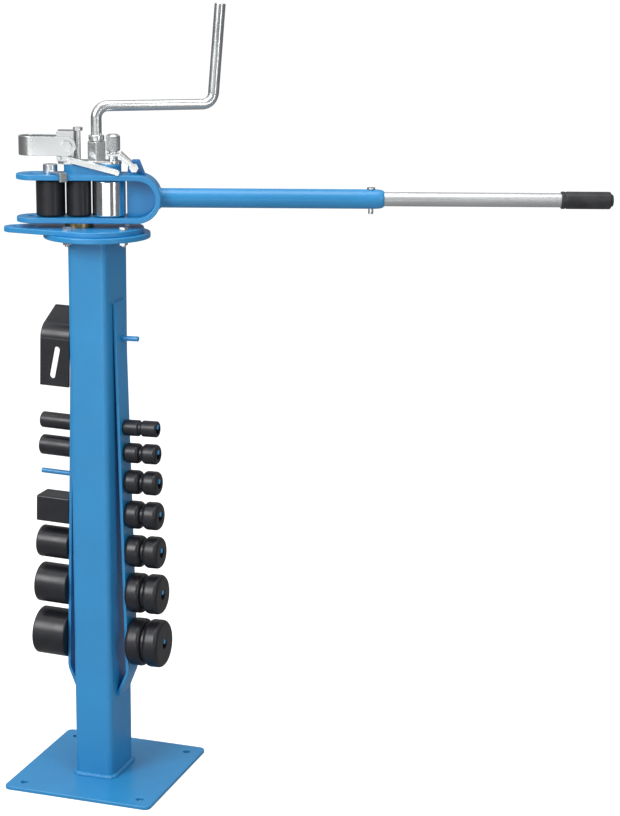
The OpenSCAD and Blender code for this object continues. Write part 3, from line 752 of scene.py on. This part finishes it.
def lathe(name: str, profile: Profile, segments: int, place: Matrix) -> Object:
    """Turns a closed profile about Z and lays it in place.

    Args:
        name: Name of the object.
        profile: Radius and height of each corner, counter-clockwise.
        segments: Steps round the axis.
        place: Where the shape's own frame goes.

    Returns:
        The turned object, its place in its mesh.
    """
    bm = bmesh.new()
    turns = [2 * pi * i / segments for i in range(segments)]
    rings = []
    for radius, height in profile:
        if radius < NO_RADIUS:
            rings.append([bm.verts.new((0, 0, height))] * segments)
        else:
            rings.append([bm.verts.new(around(radius, a, height)) for a in turns])
    for ring, above in zip(rings, rings[1:] + rings[:1]):
        bridge(bm, ring, above)
    bmesh.ops.recalc_face_normals(bm, faces=bm.faces)
    bmesh.ops.transform(bm, matrix=place, verts=bm.verts)
    return smooth(new_object(name, as_mesh(bm, name)))


@dataclass(frozen=True)
class HexHead:
    """A hexagonal head or nut whose upper corners are turned off."""

    across: float
    height: float
    lid_share: float = 0.94
    turned_deg: float = 30.0
    segments: int = 48

    def mesh(self, name: str) -> Mesh:
        """Builds the head, standing on Z = 0.

        Args:
            name: Name of the mesh.

        Returns:
            The mesh.
        """
        bm = bmesh.new()
        side = radians(60)
        lid_radius = self.across / 2 * self.lid_share
        base, crown, lid = [], [], []
        for i in range(self.segments):
            a = 2 * pi * i / self.segments
            reach = self.across / 2 / cos(a % side - side / 2)
            drop = (reach - lid_radius) * tan(radians(self.turned_deg))
            base.append(bm.verts.new(around(reach, a)))
            crown.append(bm.verts.new(around(reach, a, self.height - drop)))
            lid.append(bm.verts.new(around(lid_radius, a, self.height)))
        bridge(bm, base, crown)
        bridge(bm, crown, lid)
        bm.faces.new(lid)
        bm.faces.new(base[::-1])
        return as_mesh(bm, name)


def path_object(name: str, paths: Iterable[Path]) -> Object:
    """Makes a mesh of edges only, for a tree to follow.

    Args:
        name: Name of the object.
        paths: Points of each path, and whether it closes on itself.

    Returns:
        The object.
    """
    verts: list[Vector] = []
    edges: list[tuple[int, int]] = []
    for points, closed in paths:
        first = len(verts)
        last = first + len(points) - 1
        verts.extend(points)
        edges.extend((i, i + 1) for i in range(first, last))
        if closed:
            edges.append((last, first))
    mesh = bpy.data.meshes.new(name)
    mesh.from_pydata(verts, edges, [])
    return new_object(name, mesh)


# Geometry node trees


class Geometry(Group):
    """Wiring of one geometry node tree that sets instances on points."""

    def __init__(self, name: str, *inputs: Input) -> None:
        """Opens a tree, whose first input is a Geometry and whose last is a Material."""
        inputs = (("Geometry", SHAPE, None), *inputs, ("Material", "NodeSocketMaterial", None))
        super().__init__(name, "GeometryNodeTree", inputs, ("Geometry", SHAPE))

    def vary(self, low: float, high: float) -> Socket:
        """A number for each point, drawn between two limits by the tree's Seed.

        Args:
            low: Lower limit.
            high: Upper limit.

        Returns:
            The number.
        """
        node = self.add("FunctionNodeRandomValue", data_type="FLOAT")
        self.feed(node, Seed=self.given["Seed"])
        # A float's limits are the node's inputs 2 and 3, and its output 1
        node.inputs[2].default_value = low
        node.inputs[3].default_value = high
        return node.outputs[1]

    def spread(self, **instances: object) -> None:
        """Sets the instances, makes them real, gives them the Material input and ends the tree.

        Args:
            instances: Inputs of the node that sets one instance on each point.
        """
        copies = self.put("GeometryNodeInstanceOnPoints", **instances)
        real = self.put("GeometryNodeRealizeInstances", Geometry=copies.outputs[0])
        shade = self.put("GeometryNodeSetShadeSmooth", Geometry=real.outputs[0])
        dress = self.put("GeometryNodeSetMaterial", Geometry=shade.outputs[0],
                         Material=self.given["Material"])
        self.close(dress.outputs[0])

    def run(self, obj: Object, **inputs: object) -> Object:
        """Runs the tree on an object and keeps the result as a plain mesh.

        Args:
            obj: The object whose mesh the tree reads.
            inputs: Values by the inputs' names.

        Returns:
            The same object with the result.
        """
        modifier = obj.modifiers.new(self.tree.name, "NODES")
        modifier.node_group = self.tree
        for name, value in inputs.items():
            modifier[self.keys[name]] = value
        return flatten(obj)


class WeldTree(Geometry):
    """A weld bead: overlapping ripples along the edges of a path mesh."""

    THICKNESS = (0.9, 1.08)
    RIPPLE_PITCHES = 1.5

    def __init__(self) -> None:
        """Builds the tree."""
        super().__init__("weld_bead", ("Radius", NUMBER, 4 * MM), ("Pitch", NUMBER, 2 * MM),
                         ("Seed", WHOLE_NUMBER, 1))
        path = self.add("GeometryNodeMeshToCurve")
        self.join(self.given["Geometry"], path.inputs[0])
        steps = self.add("GeometryNodeResampleCurve", mode="LENGTH")
        self.feed(steps, Curve=path.outputs[0], Length=self.given["Pitch"])
        drop = self.put("GeometryNodeMeshIcoSphere", Radius=1.0, Subdivisions=2)
        turn = self.add("FunctionNodeAlignRotationToVector", axis="X")
        self.feed(turn, Vector=self.add("GeometryNodeInputTangent").outputs[0])
        size = self.calc("MULTIPLY", self.given["Radius"], self.vary(*self.THICKNESS))
        length = self.calc("MULTIPLY", self.given["Pitch"], self.RIPPLE_PITCHES)
        scale = self.put("ShaderNodeCombineXYZ", X=length, Y=size, Z=size)
        self.spread(Points=steps.outputs[0], Instance=drop.outputs["Mesh"],
                    Rotation=turn.outputs[0], Scale=scale.outputs[0])


class FastenerTree(Geometry):
    """One fastener on each point of a mesh, each turned by its own amount."""

    MOST_TURN = radians(60)

    def __init__(self) -> None:
        """Builds the tree."""
        super().__init__("fasteners", ("Fastener", "NodeSocketObject", None), ("Seed", WHOLE_NUMBER, 3))
        source = self.add("GeometryNodeObjectInfo", transform_space="ORIGINAL")
        self.feed(source, Object=self.given["Fastener"])
        about = self.put("ShaderNodeCombineXYZ", Z=self.vary(0.0, self.MOST_TURN))
        self.spread(Points=self.given["Geometry"], Instance=source.outputs["Geometry"],
                    Rotation=about.outputs[0])


class KnurlTree(Geometry):
    """Upright ribs round a knob."""

    RIB_SIDES = 6

    def __init__(self) -> None:
        """Builds the tree."""
        super().__init__("knurl", ("Radius", NUMBER, 11 * MM), ("Height", NUMBER, 20 * MM),
                         ("Rib", NUMBER, 0.7 * MM), ("Count", WHOLE_NUMBER, 44))
        given = self.given
        ring = self.put("GeometryNodeMeshCircle", Vertices=given["Count"], Radius=given["Radius"])
        rib = self.put("GeometryNodeMeshCylinder", Vertices=self.RIB_SIDES, Radius=given["Rib"],
                       Depth=given["Height"])
        self.spread(Points=ring.outputs[0], Instance=rib.outputs["Mesh"])


# The machine


@dataclass
class Workshop:
    """What every sub-assembly needs: node trees, ways to dress a piece, and the fork's own frame."""

    weld: WeldTree
    fastener: FastenerTree
    knurl: KnurlTree
    ripple_share: float = 0.62
    fastener_sharp_deg: float = 28.0

    @staticmethod
    def fork_matrix() -> Matrix:
        """The fork's own frame: king pin at the origin, lever along X, heights kept.

        Returns:
            The frame's place.
        """
        king, roller = (Vector(joint(n)["pos_m"]) for n in ("fork_swing", "plated_roller_spin"))
        way = (roller - king).to_2d().normalized()
        return Matrix(((way.x, -way.y, 0, king.x), (way.y, way.x, 0, king.y), (0, 0, 1, 0), (0, 0, 0, 1)))

    def fork_box(self, *nodes: str) -> tuple[Vector, Vector]:
        """Box of some solids in the fork's frame.

        Args:
            nodes: Names of the solids.

        Returns:
            Its lowest and its highest corner.
        """
        back = self.fork_matrix().inverted()
        points = [back @ v.co for node in nodes for v in frame["nodes"][node].data.vertices]
        return Vector(map(min, zip(*points))), Vector(map(max, zip(*points)))

    def wear_finish(self, obj: Object, finish: Finish, body: str) -> Object:
        """Gives a piece its finish and its body.

        Args:
            obj: The piece.
            finish: Its finish.
            body: The body that it rides on.

        Returns:
            The same piece.
        """
        obj.data.materials.clear()
        obj.data.materials.append(finish.material())
        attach(obj, body)
        LOG.info("%s: %s on %s, %d faces", obj.name, finish.name, body, len(obj.data.polygons))
        return obj

    def skin(self, node: str, finish: Finish, rounding: Rounding = Rounding()) -> Object:
        """Dresses one solid: a copy with rounded edges takes its place.

        Args:
            node: The solid.
            finish: Its finish.
            rounding: How its edges are broken.

        Returns:
            The new piece.
        """
        piece = rounded(solid_of(node), f"{node}_skin", rounding)
        self.wear_finish(piece, finish, frame["nodes"][node]["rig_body"])
        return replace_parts(piece, node)

    def bead(self, name: str, paths: Iterable[Path], radius: float, body: str) -> Object:
        """Lays painted weld beads along paths.

        Args:
            name: Name of the piece.
            paths: Points of each path, and whether it closes.
            radius: Radius of the bead.
            body: The body that it rides on.

        Returns:
            The new piece.
        """
        obj = path_object(name, paths)
        self.weld.run(obj, Radius=radius, Pitch=radius * self.ripple_share, Seed=len(name),
                      Material=BLUE.material())
        return self.wear_finish(obj, BLUE, body)

    def fasteners(self, name: str, model: Mesh, points: Sequence[Vector], body: str) -> Object:
        """Sets a plated fastener on each point.

        Args:
            name: Name of the piece.
            model: Mesh of one fastener.
            points: Where they sit.
            body: The body that they ride on.

        Returns:
            The new piece.
        """
        source = new_object(f"{name}_model", model)
        obj = path_object(name, [([p], False) for p in points])
        self.fastener.run(obj, Fastener=source, Seed=len(points), Material=ZINC.material())
        bpy.data.objects.remove(source)
        sharpen(obj, self.fastener_sharp_deg)
        return self.wear_finish(obj, ZINC, body)


@dataclass
class Pedestal:
    """Base plate, post, flange and head plate, with their welds and bolts."""

    shop: Workshop
    post_corner: float = 9 * MM
    foot_bead: float = 5 * MM
    foot_bead_out: float = 0.8 * MM
    flange_bead: float = 3 * MM
    flange_bead_out: float = 0.5 * MM
    bolt_across: float = 13 * MM
    bolt_height: float = 5.3 * MM
    bolt_radius: float = 4 * MM
    bolt_tail: float = 3 * MM
    bolt_chamfer: float = 0.8 * MM
    thread_pitch: float = 1.25 * MM
    thread_depth: float = 0.55 * MM
    crest_share: float = 0.6
    root_share: float = 1.1
    bolt_segments: int = 24
    turned_head_share: float = 0.55
    body: str = "pedestal"

    def build(self) -> None:
        """Builds and dresses every piece."""
        for node in ("base_plate", "top_flange", "head_plate"):
            self.shop.skin(node, BLUE, PLATE_EDGE)
        self.shop.skin("post_tube", BLUE, CUT_EDGE)
        self.shop.skin("king_pin", ZINC)
        self.shop.skin("thrust_washer", BRONZE)
        self.welds()
        self.bolts()

    def post_ring(self, height: float, out: float) -> list[Vector]:
        """Points round the post at a height.

        Args:
            height: Height above the floor.
            out: Distance outside the post's faces.

        Returns:
            The points in order.
        """
        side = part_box("post_tube")[1]
        r = self.post_corner
        points = []
        for start, sx, sy in ((0, 1, 1), (90, -1, 1), (180, -1, -1), (270, 1, -1)):
            corner = Vector((sx * (side.x - r), sy * (side.y - r), height))
            points += [corner + (r + out) * around(1.0, a) for a in sweep(start, start + 90)]
        return points

    def welds(self) -> None:
        """Lays the beads at the foot and under the flange."""
        foot_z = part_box("foot_weld")[0].z + self.foot_bead_out
        top_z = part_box("top_weld")[1].z - self.flange_bead_out
        foot_ring = self.post_ring(foot_z, self.foot_bead_out)
        foot = self.shop.bead("foot_bead", [(foot_ring, True)], self.foot_bead, self.body)
        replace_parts(foot, "foot_weld")
        top_ring = self.post_ring(top_z, self.flange_bead_out)
        top = self.shop.bead("flange_bead", [(top_ring, True)], self.flange_bead, self.body)
        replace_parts(top, "top_weld")

    def bolts(self) -> None:
        """Sets the flange bolts: heads on the plate, nuts and bolt ends below."""
        low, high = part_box("flange_bolts")
        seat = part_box("head_plate")[1].z
        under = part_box("top_flange")[0].z
        head = HexHead(self.bolt_across, self.bolt_height).mesh("flange_bolt_head")
        nut = HexHead(self.bolt_across, under - low.z - self.bolt_tail).mesh("flange_nut")
        nut.transform(Matrix.Rotation(pi, 4, "X"))
        end = self.bolt_end(under - low.z)
        sets = [("flange_bolt_heads", head, seat), ("flange_nuts", nut, under),
                ("flange_bolt_ends", end, low.z)]
        plan = self.bolt_plan(high)
        pieces = [self.shop.fasteners(name, model, [Vector((x, y, z)) for x, y in plan], self.body)
                  for name, model, z in sets]
        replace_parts(pieces[0], "flange_bolts")

    def bolt_plan(self, high: Vector) -> Profile:
        """Plan positions of the four bolts, which sit square to the turned head.

        Args:
            high: Highest corner of the bolts' box.

        Returns:
            X and Y of each bolt.
        """
        way = self.shop.fork_matrix().to_3x3() @ Vector((1, 1, 0)).normalized()
        reach = (high.x - self.bolt_across * self.turned_head_share) / max(abs(way.x), abs(way.y))
        x, y = reach * way.x, reach * way.y
        return [(x, y), (-y, x), (-x, -y), (y, -x)]

    def bolt_end(self, length: float) -> Mesh:
        """A bolt's threaded end: rings one pitch apart above a chamfer.

        Args:
            length: Length below the flange.

        Returns:
            The mesh, standing on Z = 0.
        """
        radius = self.bolt_radius
        outline = [(0.0, 0.0), (radius - self.bolt_chamfer, 0.0)]
        for i in range(int(length / self.thread_pitch) - 1):
            outline.append((radius, (i + self.crest_share) * self.thread_pitch))
            outline.append((radius - self.thread_depth, (i + self.root_share) * self.thread_pitch))
        outline += [(radius, length), (0.0, length)]
        model = lathe("flange_bolt_end", outline, self.bolt_segments, Matrix.Identity(4))
        mesh = model.data.copy()
        bpy.data.objects.remove(model)
        return mesh


@dataclass
class Racks:
    """Side strips with pegs, and the dies and bracket that hang on them."""

    shop: Workshop
    rim: Rounding = Rounding(0.5 * MM)
    strip_edge: Rounding = Rounding(0.9 * MM, bend=Bend(12 * MM, 5 * MM, 45 * MM))
    bead_radius: float = 2 * MM
    body: str = "pedestal"

    def build(self) -> None:
        """Builds and dresses every piece."""
        for side in ("left", "right"):
            self.shop.skin(f"rack_strip_{side}", BLUE, self.strip_edge)
            self.shop.skin(f"rack_pegs_{side}", BLUE)
            self.strip_welds(side)
        for node in sorted(frame["nodes"]):
            if node.startswith("grooved_die"):
                self.shop.skin(node, blackened(Turned.RACK_RIGHT), self.rim)
            elif node.startswith("plain_die"):
                self.shop.skin(node, blackened(Turned.RACK_LEFT), self.rim)
        self.shop.skin("square_die", blackened(), CUT_EDGE)
        self.shop.skin("slotted_bracket", blackened())

    def strip_welds(self, side: str) -> None:
        """Lays beads along both ends of a strip, where it meets the post.

        Args:
            side: left or right.
        """
        low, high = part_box(f"rack_strip_{side}")
        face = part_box("post_tube")[1].x * (1 if side == "right" else -1)
        across = [share * high.y for share in (-1.0, -0.5, 0.0, 0.5, 1.0)]
        ends = [([Vector((face, y, z)) for y in across], False) for z in (high.z, low.z)]
        self.shop.bead(f"strip_bead_{side}", ends, self.bead_radius, self.body)


@dataclass
class Fork:
    """Bent flat bar with its web, boss, lug and the hardware of the hold-down head."""

    shop: Workshop
    bar: tuple[str, ...] = ("fork_arm_lower", "fork_arm_upper", "fork_bend")
    seam_gap: float = 0.02 * MM
    bead_radius: float = 2.2 * MM
    saddle_steps: int = 48
    boss_steps: int = 12
    body: str = "fork"

    def build(self) -> None:
        """Builds and dresses every piece."""
        self.yoke()
        self.shop.skin("bend_web", BLUE)
        self.shop.skin("pivot_boss", BLUE, BOSS_EDGE)
        # Painted shade: the lug takes the darker copy of the fork's blue coat.
        self.shop.skin("stay_lug", SHADED_LUG_BLUE, BOSS_EDGE)
        for node in ("link_plate", "strap_block", "screw_column", "stay_link", "brace_bar"):
            self.shop.skin(node, ZINC, CUT_EDGE)
        for node in ("block_bolt", "strap_bolt", "stay_bolt", "brace_bolts", "plated_roller_pin"):
            self.shop.skin(node, ZINC, FINE_EDGE)
        self.welds()

    def yoke(self) -> None:
        """Joins the arms and the bend to one bar, without the faces at which they meet."""
        back = self.shop.fork_matrix().inverted()
        seam = self.shop.fork_box("fork_arm_lower")[1].x
        bm = solid_of(*self.bar)
        inner = [f for f in bm.faces if all(abs((back @ v.co).x - seam) < self.seam_gap for v in f.verts)]
        bmesh.ops.delete(bm, geom=inner, context="FACES")
        piece = rounded(bm, "fork_yoke_skin", PLATE_EDGE)
        self.shop.wear_finish(piece, BLUE, self.body)
        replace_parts(piece, *self.bar)

    def welds(self) -> None:
        """Lays the beads round the lever socket and the boss, and along the lug."""
        low, high = self.shop.fork_box(*self.bar)
        outer = (high.z - low.z) / 2
        bend_x = high.x - outer
        lug_low, lug_high = self.shop.fork_box("stay_lug")
        along = (lug_low.x, (lug_low.x + bend_x) / 2, bend_x)
        saddle = self.saddle(bend_x, (high.z + low.z) / 2, outer)
        paths = [(saddle, True), (self.boss_ring(high.z), True)]
        paths += [([Vector((x, y, high.z)) for x in along], False) for y in (-lug_high.y, lug_high.y)]
        place = self.shop.fork_matrix()
        laid = [([place @ p for p in points], closed) for points, closed in paths]
        self.shop.bead("fork_beads", laid, self.bead_radius, self.body)

    def saddle(self, bend_x: float, middle: float, outer: float) -> list[Vector]:
        """Points where the lever socket meets the round of the bend, in the fork's frame.

        Args:
            bend_x: Distance of the bend's centre from the king pin.
            middle: Height of the bend's centre.
            outer: Outer radius of the bend.

        Returns:
            The points in order.
        """
        low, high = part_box("lever_socket")
        radius = (high.z - low.z) / 2
        points = []
        for i in range(self.saddle_steps):
            a = 2 * pi * i / self.saddle_steps
            rise = radius * cos(a)
            reach = bend_x + sqrt(outer ** 2 - rise ** 2)
            points.append(Vector((reach, radius * sin(a), middle + rise)))
        return points

    def boss_ring(self, height: float) -> list[Vector]:
        """Points round the foot of the boss, in the fork's frame.

        Args:
            height: Height of the arm's upper face.

        Returns:
            The points in order.
        """
        low, high = self.shop.fork_box("pivot_boss")
        r = high.y
        return [Vector((x + r * cos(a), r * sin(a), height))
                for x, start in ((high.x - r, -90), (low.x + r, 90))
                for a in sweep(start, start + 180, self.boss_steps)]


@dataclass
class Lever:
    """Socket, extension, grip and the pin that holds them."""

    shop: Workshop
    socket_edge: Rounding = Rounding(0.9 * MM)
    tube_edge: Rounding = Rounding(0.3 * MM)
    pin_edge: Rounding = Rounding(0.5 * MM)
    mouth_round: float = 1.5 * MM
    ring_start: float = 5 * MM
    ring_slope: float = 1 * MM
    ring_flat: float = 1.5 * MM
    ring_depth: float = 0.7 * MM
    shoulder_in: float = 6.5 * MM
    shoulder_round: float = 3 * MM
    shoulder_sweep: float = 80.0
    nub_radius: float = 9.5 * MM
    nub_root: float = 3.2 * MM
    nub_round: float = 2 * MM
    cap: float = 4 * MM
    segments: int = 64
    body: str = "fork"

    def build(self) -> None:
        """Builds and dresses every piece."""
        self.shop.skin("lever_socket", BLUE, self.socket_edge)
        self.shop.skin("lever_extension", ZINC_TUBE, self.tube_edge)
        self.shop.skin("cross_pin", ZINC, self.pin_edge)
        self.grip()

    def grip(self) -> None:
        """Models the grip along the lever's end."""
        low, high = self.shop.fork_box("lever_grip")
        foot = Matrix.Translation((low.x, 0, (low.z + high.z) / 2))
        lay = self.shop.fork_matrix() @ foot @ Matrix.Rotation(pi / 2, 4, "Y")
        outline = self.grip_outline((high.z - low.z) / 2, high.x - low.x)
        piece = lathe("grip_sleeve", outline, self.segments, lay)
        self.shop.wear_finish(piece, GRIP, self.body)
        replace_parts(piece, "lever_grip")

    def grip_outline(self, radius: float, length: float) -> Profile:
        """Profile of the grip: a ring near its mouth, a plain barrel and a stepped end.

        Args:
            radius: Outer radius.
            length: Whole length.

        Returns:
            Radius and height of each corner.
        """
        tube_low, tube_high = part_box("lever_extension")
        inner = (tube_high.z - tube_low.z) / 2
        ring = self.ring_start + self.ring_slope
        return [
            (inner, 0.0),
            *arc(radius - self.mouth_round, self.mouth_round, self.mouth_round, 270, 360),
            (radius, self.ring_start),
            (radius - self.ring_depth, ring),
            (radius - self.ring_depth, ring + self.ring_flat),
            (radius, ring + self.ring_flat + self.ring_slope),
            *arc(radius - self.shoulder_round, length - self.shoulder_in, self.shoulder_round,
                 0, self.shoulder_sweep),
            (self.nub_radius, length - self.nub_root),
            *arc(self.nub_radius - self.nub_round, length - self.nub_round, self.nub_round, 0, 90),
            (0.0, length),
            (0.0, length - self.cap),
            (inner, length - self.cap),
        ]


@dataclass
class HeadRollers:
    """Rollers between the arms, and the pin that is pulled by hand."""

    shop: Workshop

    def build(self) -> None:
        """Builds and dresses every piece."""
        for node in ("centre_die", "bend_roller"):
            self.shop.skin(node, blackened(Turned.UPRIGHT), FINE_EDGE)
        self.shop.skin("plated_roller", CHROME, FINE_EDGE)
        self.shop.skin("pull_pin", ZINC, CUT_EDGE)


@dataclass
class HoldDown:
    """Crank with its brake pad, the strap and the thumb screw."""

    shop: Workshop
    strap_edge: Rounding = Rounding(0.7 * MM)
    stud_radius: float = 4 * MM
    stud_chamfer: float = 0.8 * MM
    shoulder_radius: float = 6 * MM
    shoulder_height: float = 3 * MM
    head_height: float = 26 * MM
    head_foot_in: float = 2.2 * MM
    head_foot_rise: float = 1.4 * MM
    crown_height: float = 2.5 * MM
    crown: tuple[tuple[float, float], ...] = ((3 * MM, 0.4 * MM), (4 * MM, 0.0), (6 * MM, 0.5 * MM))
    dish: float = 0.9 * MM
    ribs: int = 40
    rib: float = 0.75 * MM
    rib_start: float = 1.6 * MM
    rib_short: float = 2.2 * MM
    rib_sharp_deg: float = 40.0
    segments: int = 64

    def build(self) -> None:
        """Builds and dresses every piece."""
        self.shop.skin("crank_handle", ZINC, CUT_EDGE)
        self.shop.skin("brake_pad", BRONZE, FINE_EDGE)
        self.shop.skin("hold_strap", ZINC, self.strap_edge)
        self.thumb_screw()

    def thumb_screw(self) -> None:
        """Models the thumb screw: its turned body and the ribs round its head."""
        low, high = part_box("thumb_screw")
        seat = Vector(joint("thumb_screw_turn")["pos_m"])
        radius = (high.x - low.x) / 2
        body = frame["nodes"]["thumb_screw"]["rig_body"]
        outline = self.screw_outline(radius, high.z - low.z)
        knob = lathe("thumb_knob", outline, self.segments, Matrix.Translation((seat.x, seat.y, low.z)))
        self.shop.wear_finish(knob, ZINC, body)
        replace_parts(knob, "thumb_screw")
        ribs = path_object("thumb_knurl", [([Vector((0, 0, 0))], False)])
        height = self.head_height - self.crown_height - self.rib_short
        self.shop.knurl.run(ribs, Radius=radius - self.rib, Height=height, Rib=self.rib, Count=self.ribs,
                            Material=ZINC.material())
        middle = high.z - self.head_height + self.rib_start + height / 2
        ribs.data.transform(Matrix.Translation((seat.x, seat.y, middle)))
        sharpen(ribs, self.rib_sharp_deg)
        self.shop.wear_finish(ribs, ZINC, body)

    def screw_outline(self, radius: float, top: float) -> Profile:
        """Profile of the thumb screw: stud, shoulder and dished head.

        Args:
            radius: Radius of the head.
            top: Height of the whole screw.

        Returns:
            Radius and height of each corner.
        """
        neck = top - self.head_height
        shoulder = neck - self.shoulder_height
        return [
            (0.0, 0.0),
            (self.stud_radius - self.stud_chamfer, 0.0),
            (self.stud_radius, self.stud_chamfer),
            (self.stud_radius, shoulder),
            (self.shoulder_radius, shoulder),
            (self.shoulder_radius, neck),
            (radius - self.head_foot_in, neck),
            (radius - self.rib, neck + self.head_foot_rise),
            (radius - self.rib, top - self.crown_height),
            *((radius - inset, top - drop) for inset, drop in self.crown),
            (0.0, top - self.dish),
        ]


@dataclass(frozen=True)
class Lamp:
    """One soft light."""

    name: str
    place: Point
    size: tuple[float, float]
    power: float
    only_mirrored: bool = False


@dataclass
class Studio:
    """Pale floor, soft light and a camera that stands where the photograph's did."""

    target: Point = (0.0, 0.0, 0.75)
    camera_place: Point = (1.2505, -2.798, 1.3355)
    yaw: float = radians(17.907)
    pitch: float = radians(13.369)
    roll: float = radians(0.628)
    focal_px: float = 2000.0
    image_height_px: float = 816.0
    sensor_mm: float = 36.0
    view_end: float = 400.0
    sky: float = 0.6
    sky_stops: tuple[tuple[float, Colour], ...] = ((0.05, (0.3, 0.31, 0.33)), (0.7, (1.0, 1.0, 1.0)))
    floor_radius: float = 90.0
    floor_tone: float = 0.5
    floor_glow: float = 0.78
    floor_mirrored: float = 0.3
    floor_roughness: float = 0.9
    floor_gloss: float = 0.1
    lamps: tuple[Lamp, ...] = (
        Lamp("key", (-1.4, -3.0, 2.6), (1.6, 1.8), 104.0),
        Lamp("fill", (2.8, -1.6, 1.6), (0.6, 2.4), 19.0),
        Lamp("top", (0.0, -0.3, 3.2), (2.2, 1.6), 40.0),
        Lamp("low", (0.2, -3.3, 0.34), (3.2, 0.6), 14.0, True),
    )

    def build(self) -> None:
        """Builds the whole set."""
        bpy.context.scene.view_settings.view_transform = "Standard"
        self.floor()
        self.surroundings()
        for lamp in self.lamps:
            self.light(lamp)
        self.camera()

    def floor(self) -> None:
        """Lays a wide pale floor, which is seen white and mirrored darker."""
        bm = bmesh.new()
        bmesh.ops.create_circle(bm, cap_ends=True, segments=64, radius=self.floor_radius)
        obj = new_object("studio_floor", as_mesh(bm, "studio_floor"))
        surface = Surface("studio_floor")
        ray = surface.add("ShaderNodeLightPath").outputs
        tone = surface.blend(ray["Is Glossy Ray"], [self.floor_tone] * 3, [self.floor_mirrored] * 3)
        glow = surface.calc("MULTIPLY", ray["Is Camera Ray"], self.floor_glow)
        surface.shade(Base_Color=tone, Roughness=self.floor_roughness,
                     Specular_IOR_Level=self.floor_gloss, Emission_Color=(1.0, 1.0, 1.0, 1.0),
                     Emission_Strength=glow)
        obj.data.materials.append(surface.material)

    def surroundings(self) -> None:
        """Sets a soft sky that is bright above and grey at the sides, for the plated pieces to mirror."""
        world = bpy.data.worlds.new("studio")
        bpy.context.scene.world = world
        world.use_nodes = True
        w = Wiring(world.node_tree)
        way = w.put("ShaderNodeSeparateXYZ", Vector=w.add("ShaderNodeTexCoord").outputs["Generated"])
        ramp = w.add("ShaderNodeValToRGB")
        for stop, (position, colour) in zip(ramp.color_ramp.elements, self.sky_stops):
            stop.position = position
            stop.color = (*colour, 1.0)
        w.join(way.outputs["Z"], ramp.inputs[0])
        w.feed(w.tree.nodes["Background"], Color=ramp.outputs[0], Strength=self.sky)

    def light(self, lamp: Lamp) -> None:
        """Hangs one soft light, turned to the machine.

        Args:
            lamp: The light.
        """
        data = bpy.data.lights.new(lamp.name, "AREA")
        data.shape = "RECTANGLE"
        data.size, data.size_y = lamp.size
        data.energy = lamp.power
        obj = new_object(lamp.name, data)
        obj.location = lamp.place
        obj.visible_diffuse = not lamp.only_mirrored
        way = Vector(self.target) - Vector(lamp.place)
        obj.rotation_euler = way.to_track_quat("-Z", "Y").to_euler()

    def camera(self) -> None:
        """Stands the camera where the photograph was taken."""
        data = bpy.data.cameras.new("view")
        data.sensor_width = self.sensor_mm
        data.lens = self.focal_px / self.image_height_px * self.sensor_mm
        data.clip_end = self.view_end
        obj = new_object("view", data)
        level = Matrix.Rotation(self.yaw, 4, "Z") @ Matrix.Rotation(pi / 2 - self.pitch, 4, "X")
        obj.matrix_world = Matrix.Translation(self.camera_place) @ level @ Matrix.Rotation(self.roll, 4, "Z")
        bpy.context.scene.camera = obj


def main() -> None:
    """Builds the studio and the machine, one sub-assembly after another."""
    logging.basicConfig(level=logging.INFO, format="%(name)s: %(message)s")
    Studio().build()
    shop = Workshop(WeldTree(), FastenerTree(), KnurlTree())
    for assembly in (Pedestal, Racks, Fork, Lever, HeadRollers, HoldDown):
        LOG.info("building %s", assembly.__name__)
        assembly(shop).build()


if __name__ == "__main__":
    main()
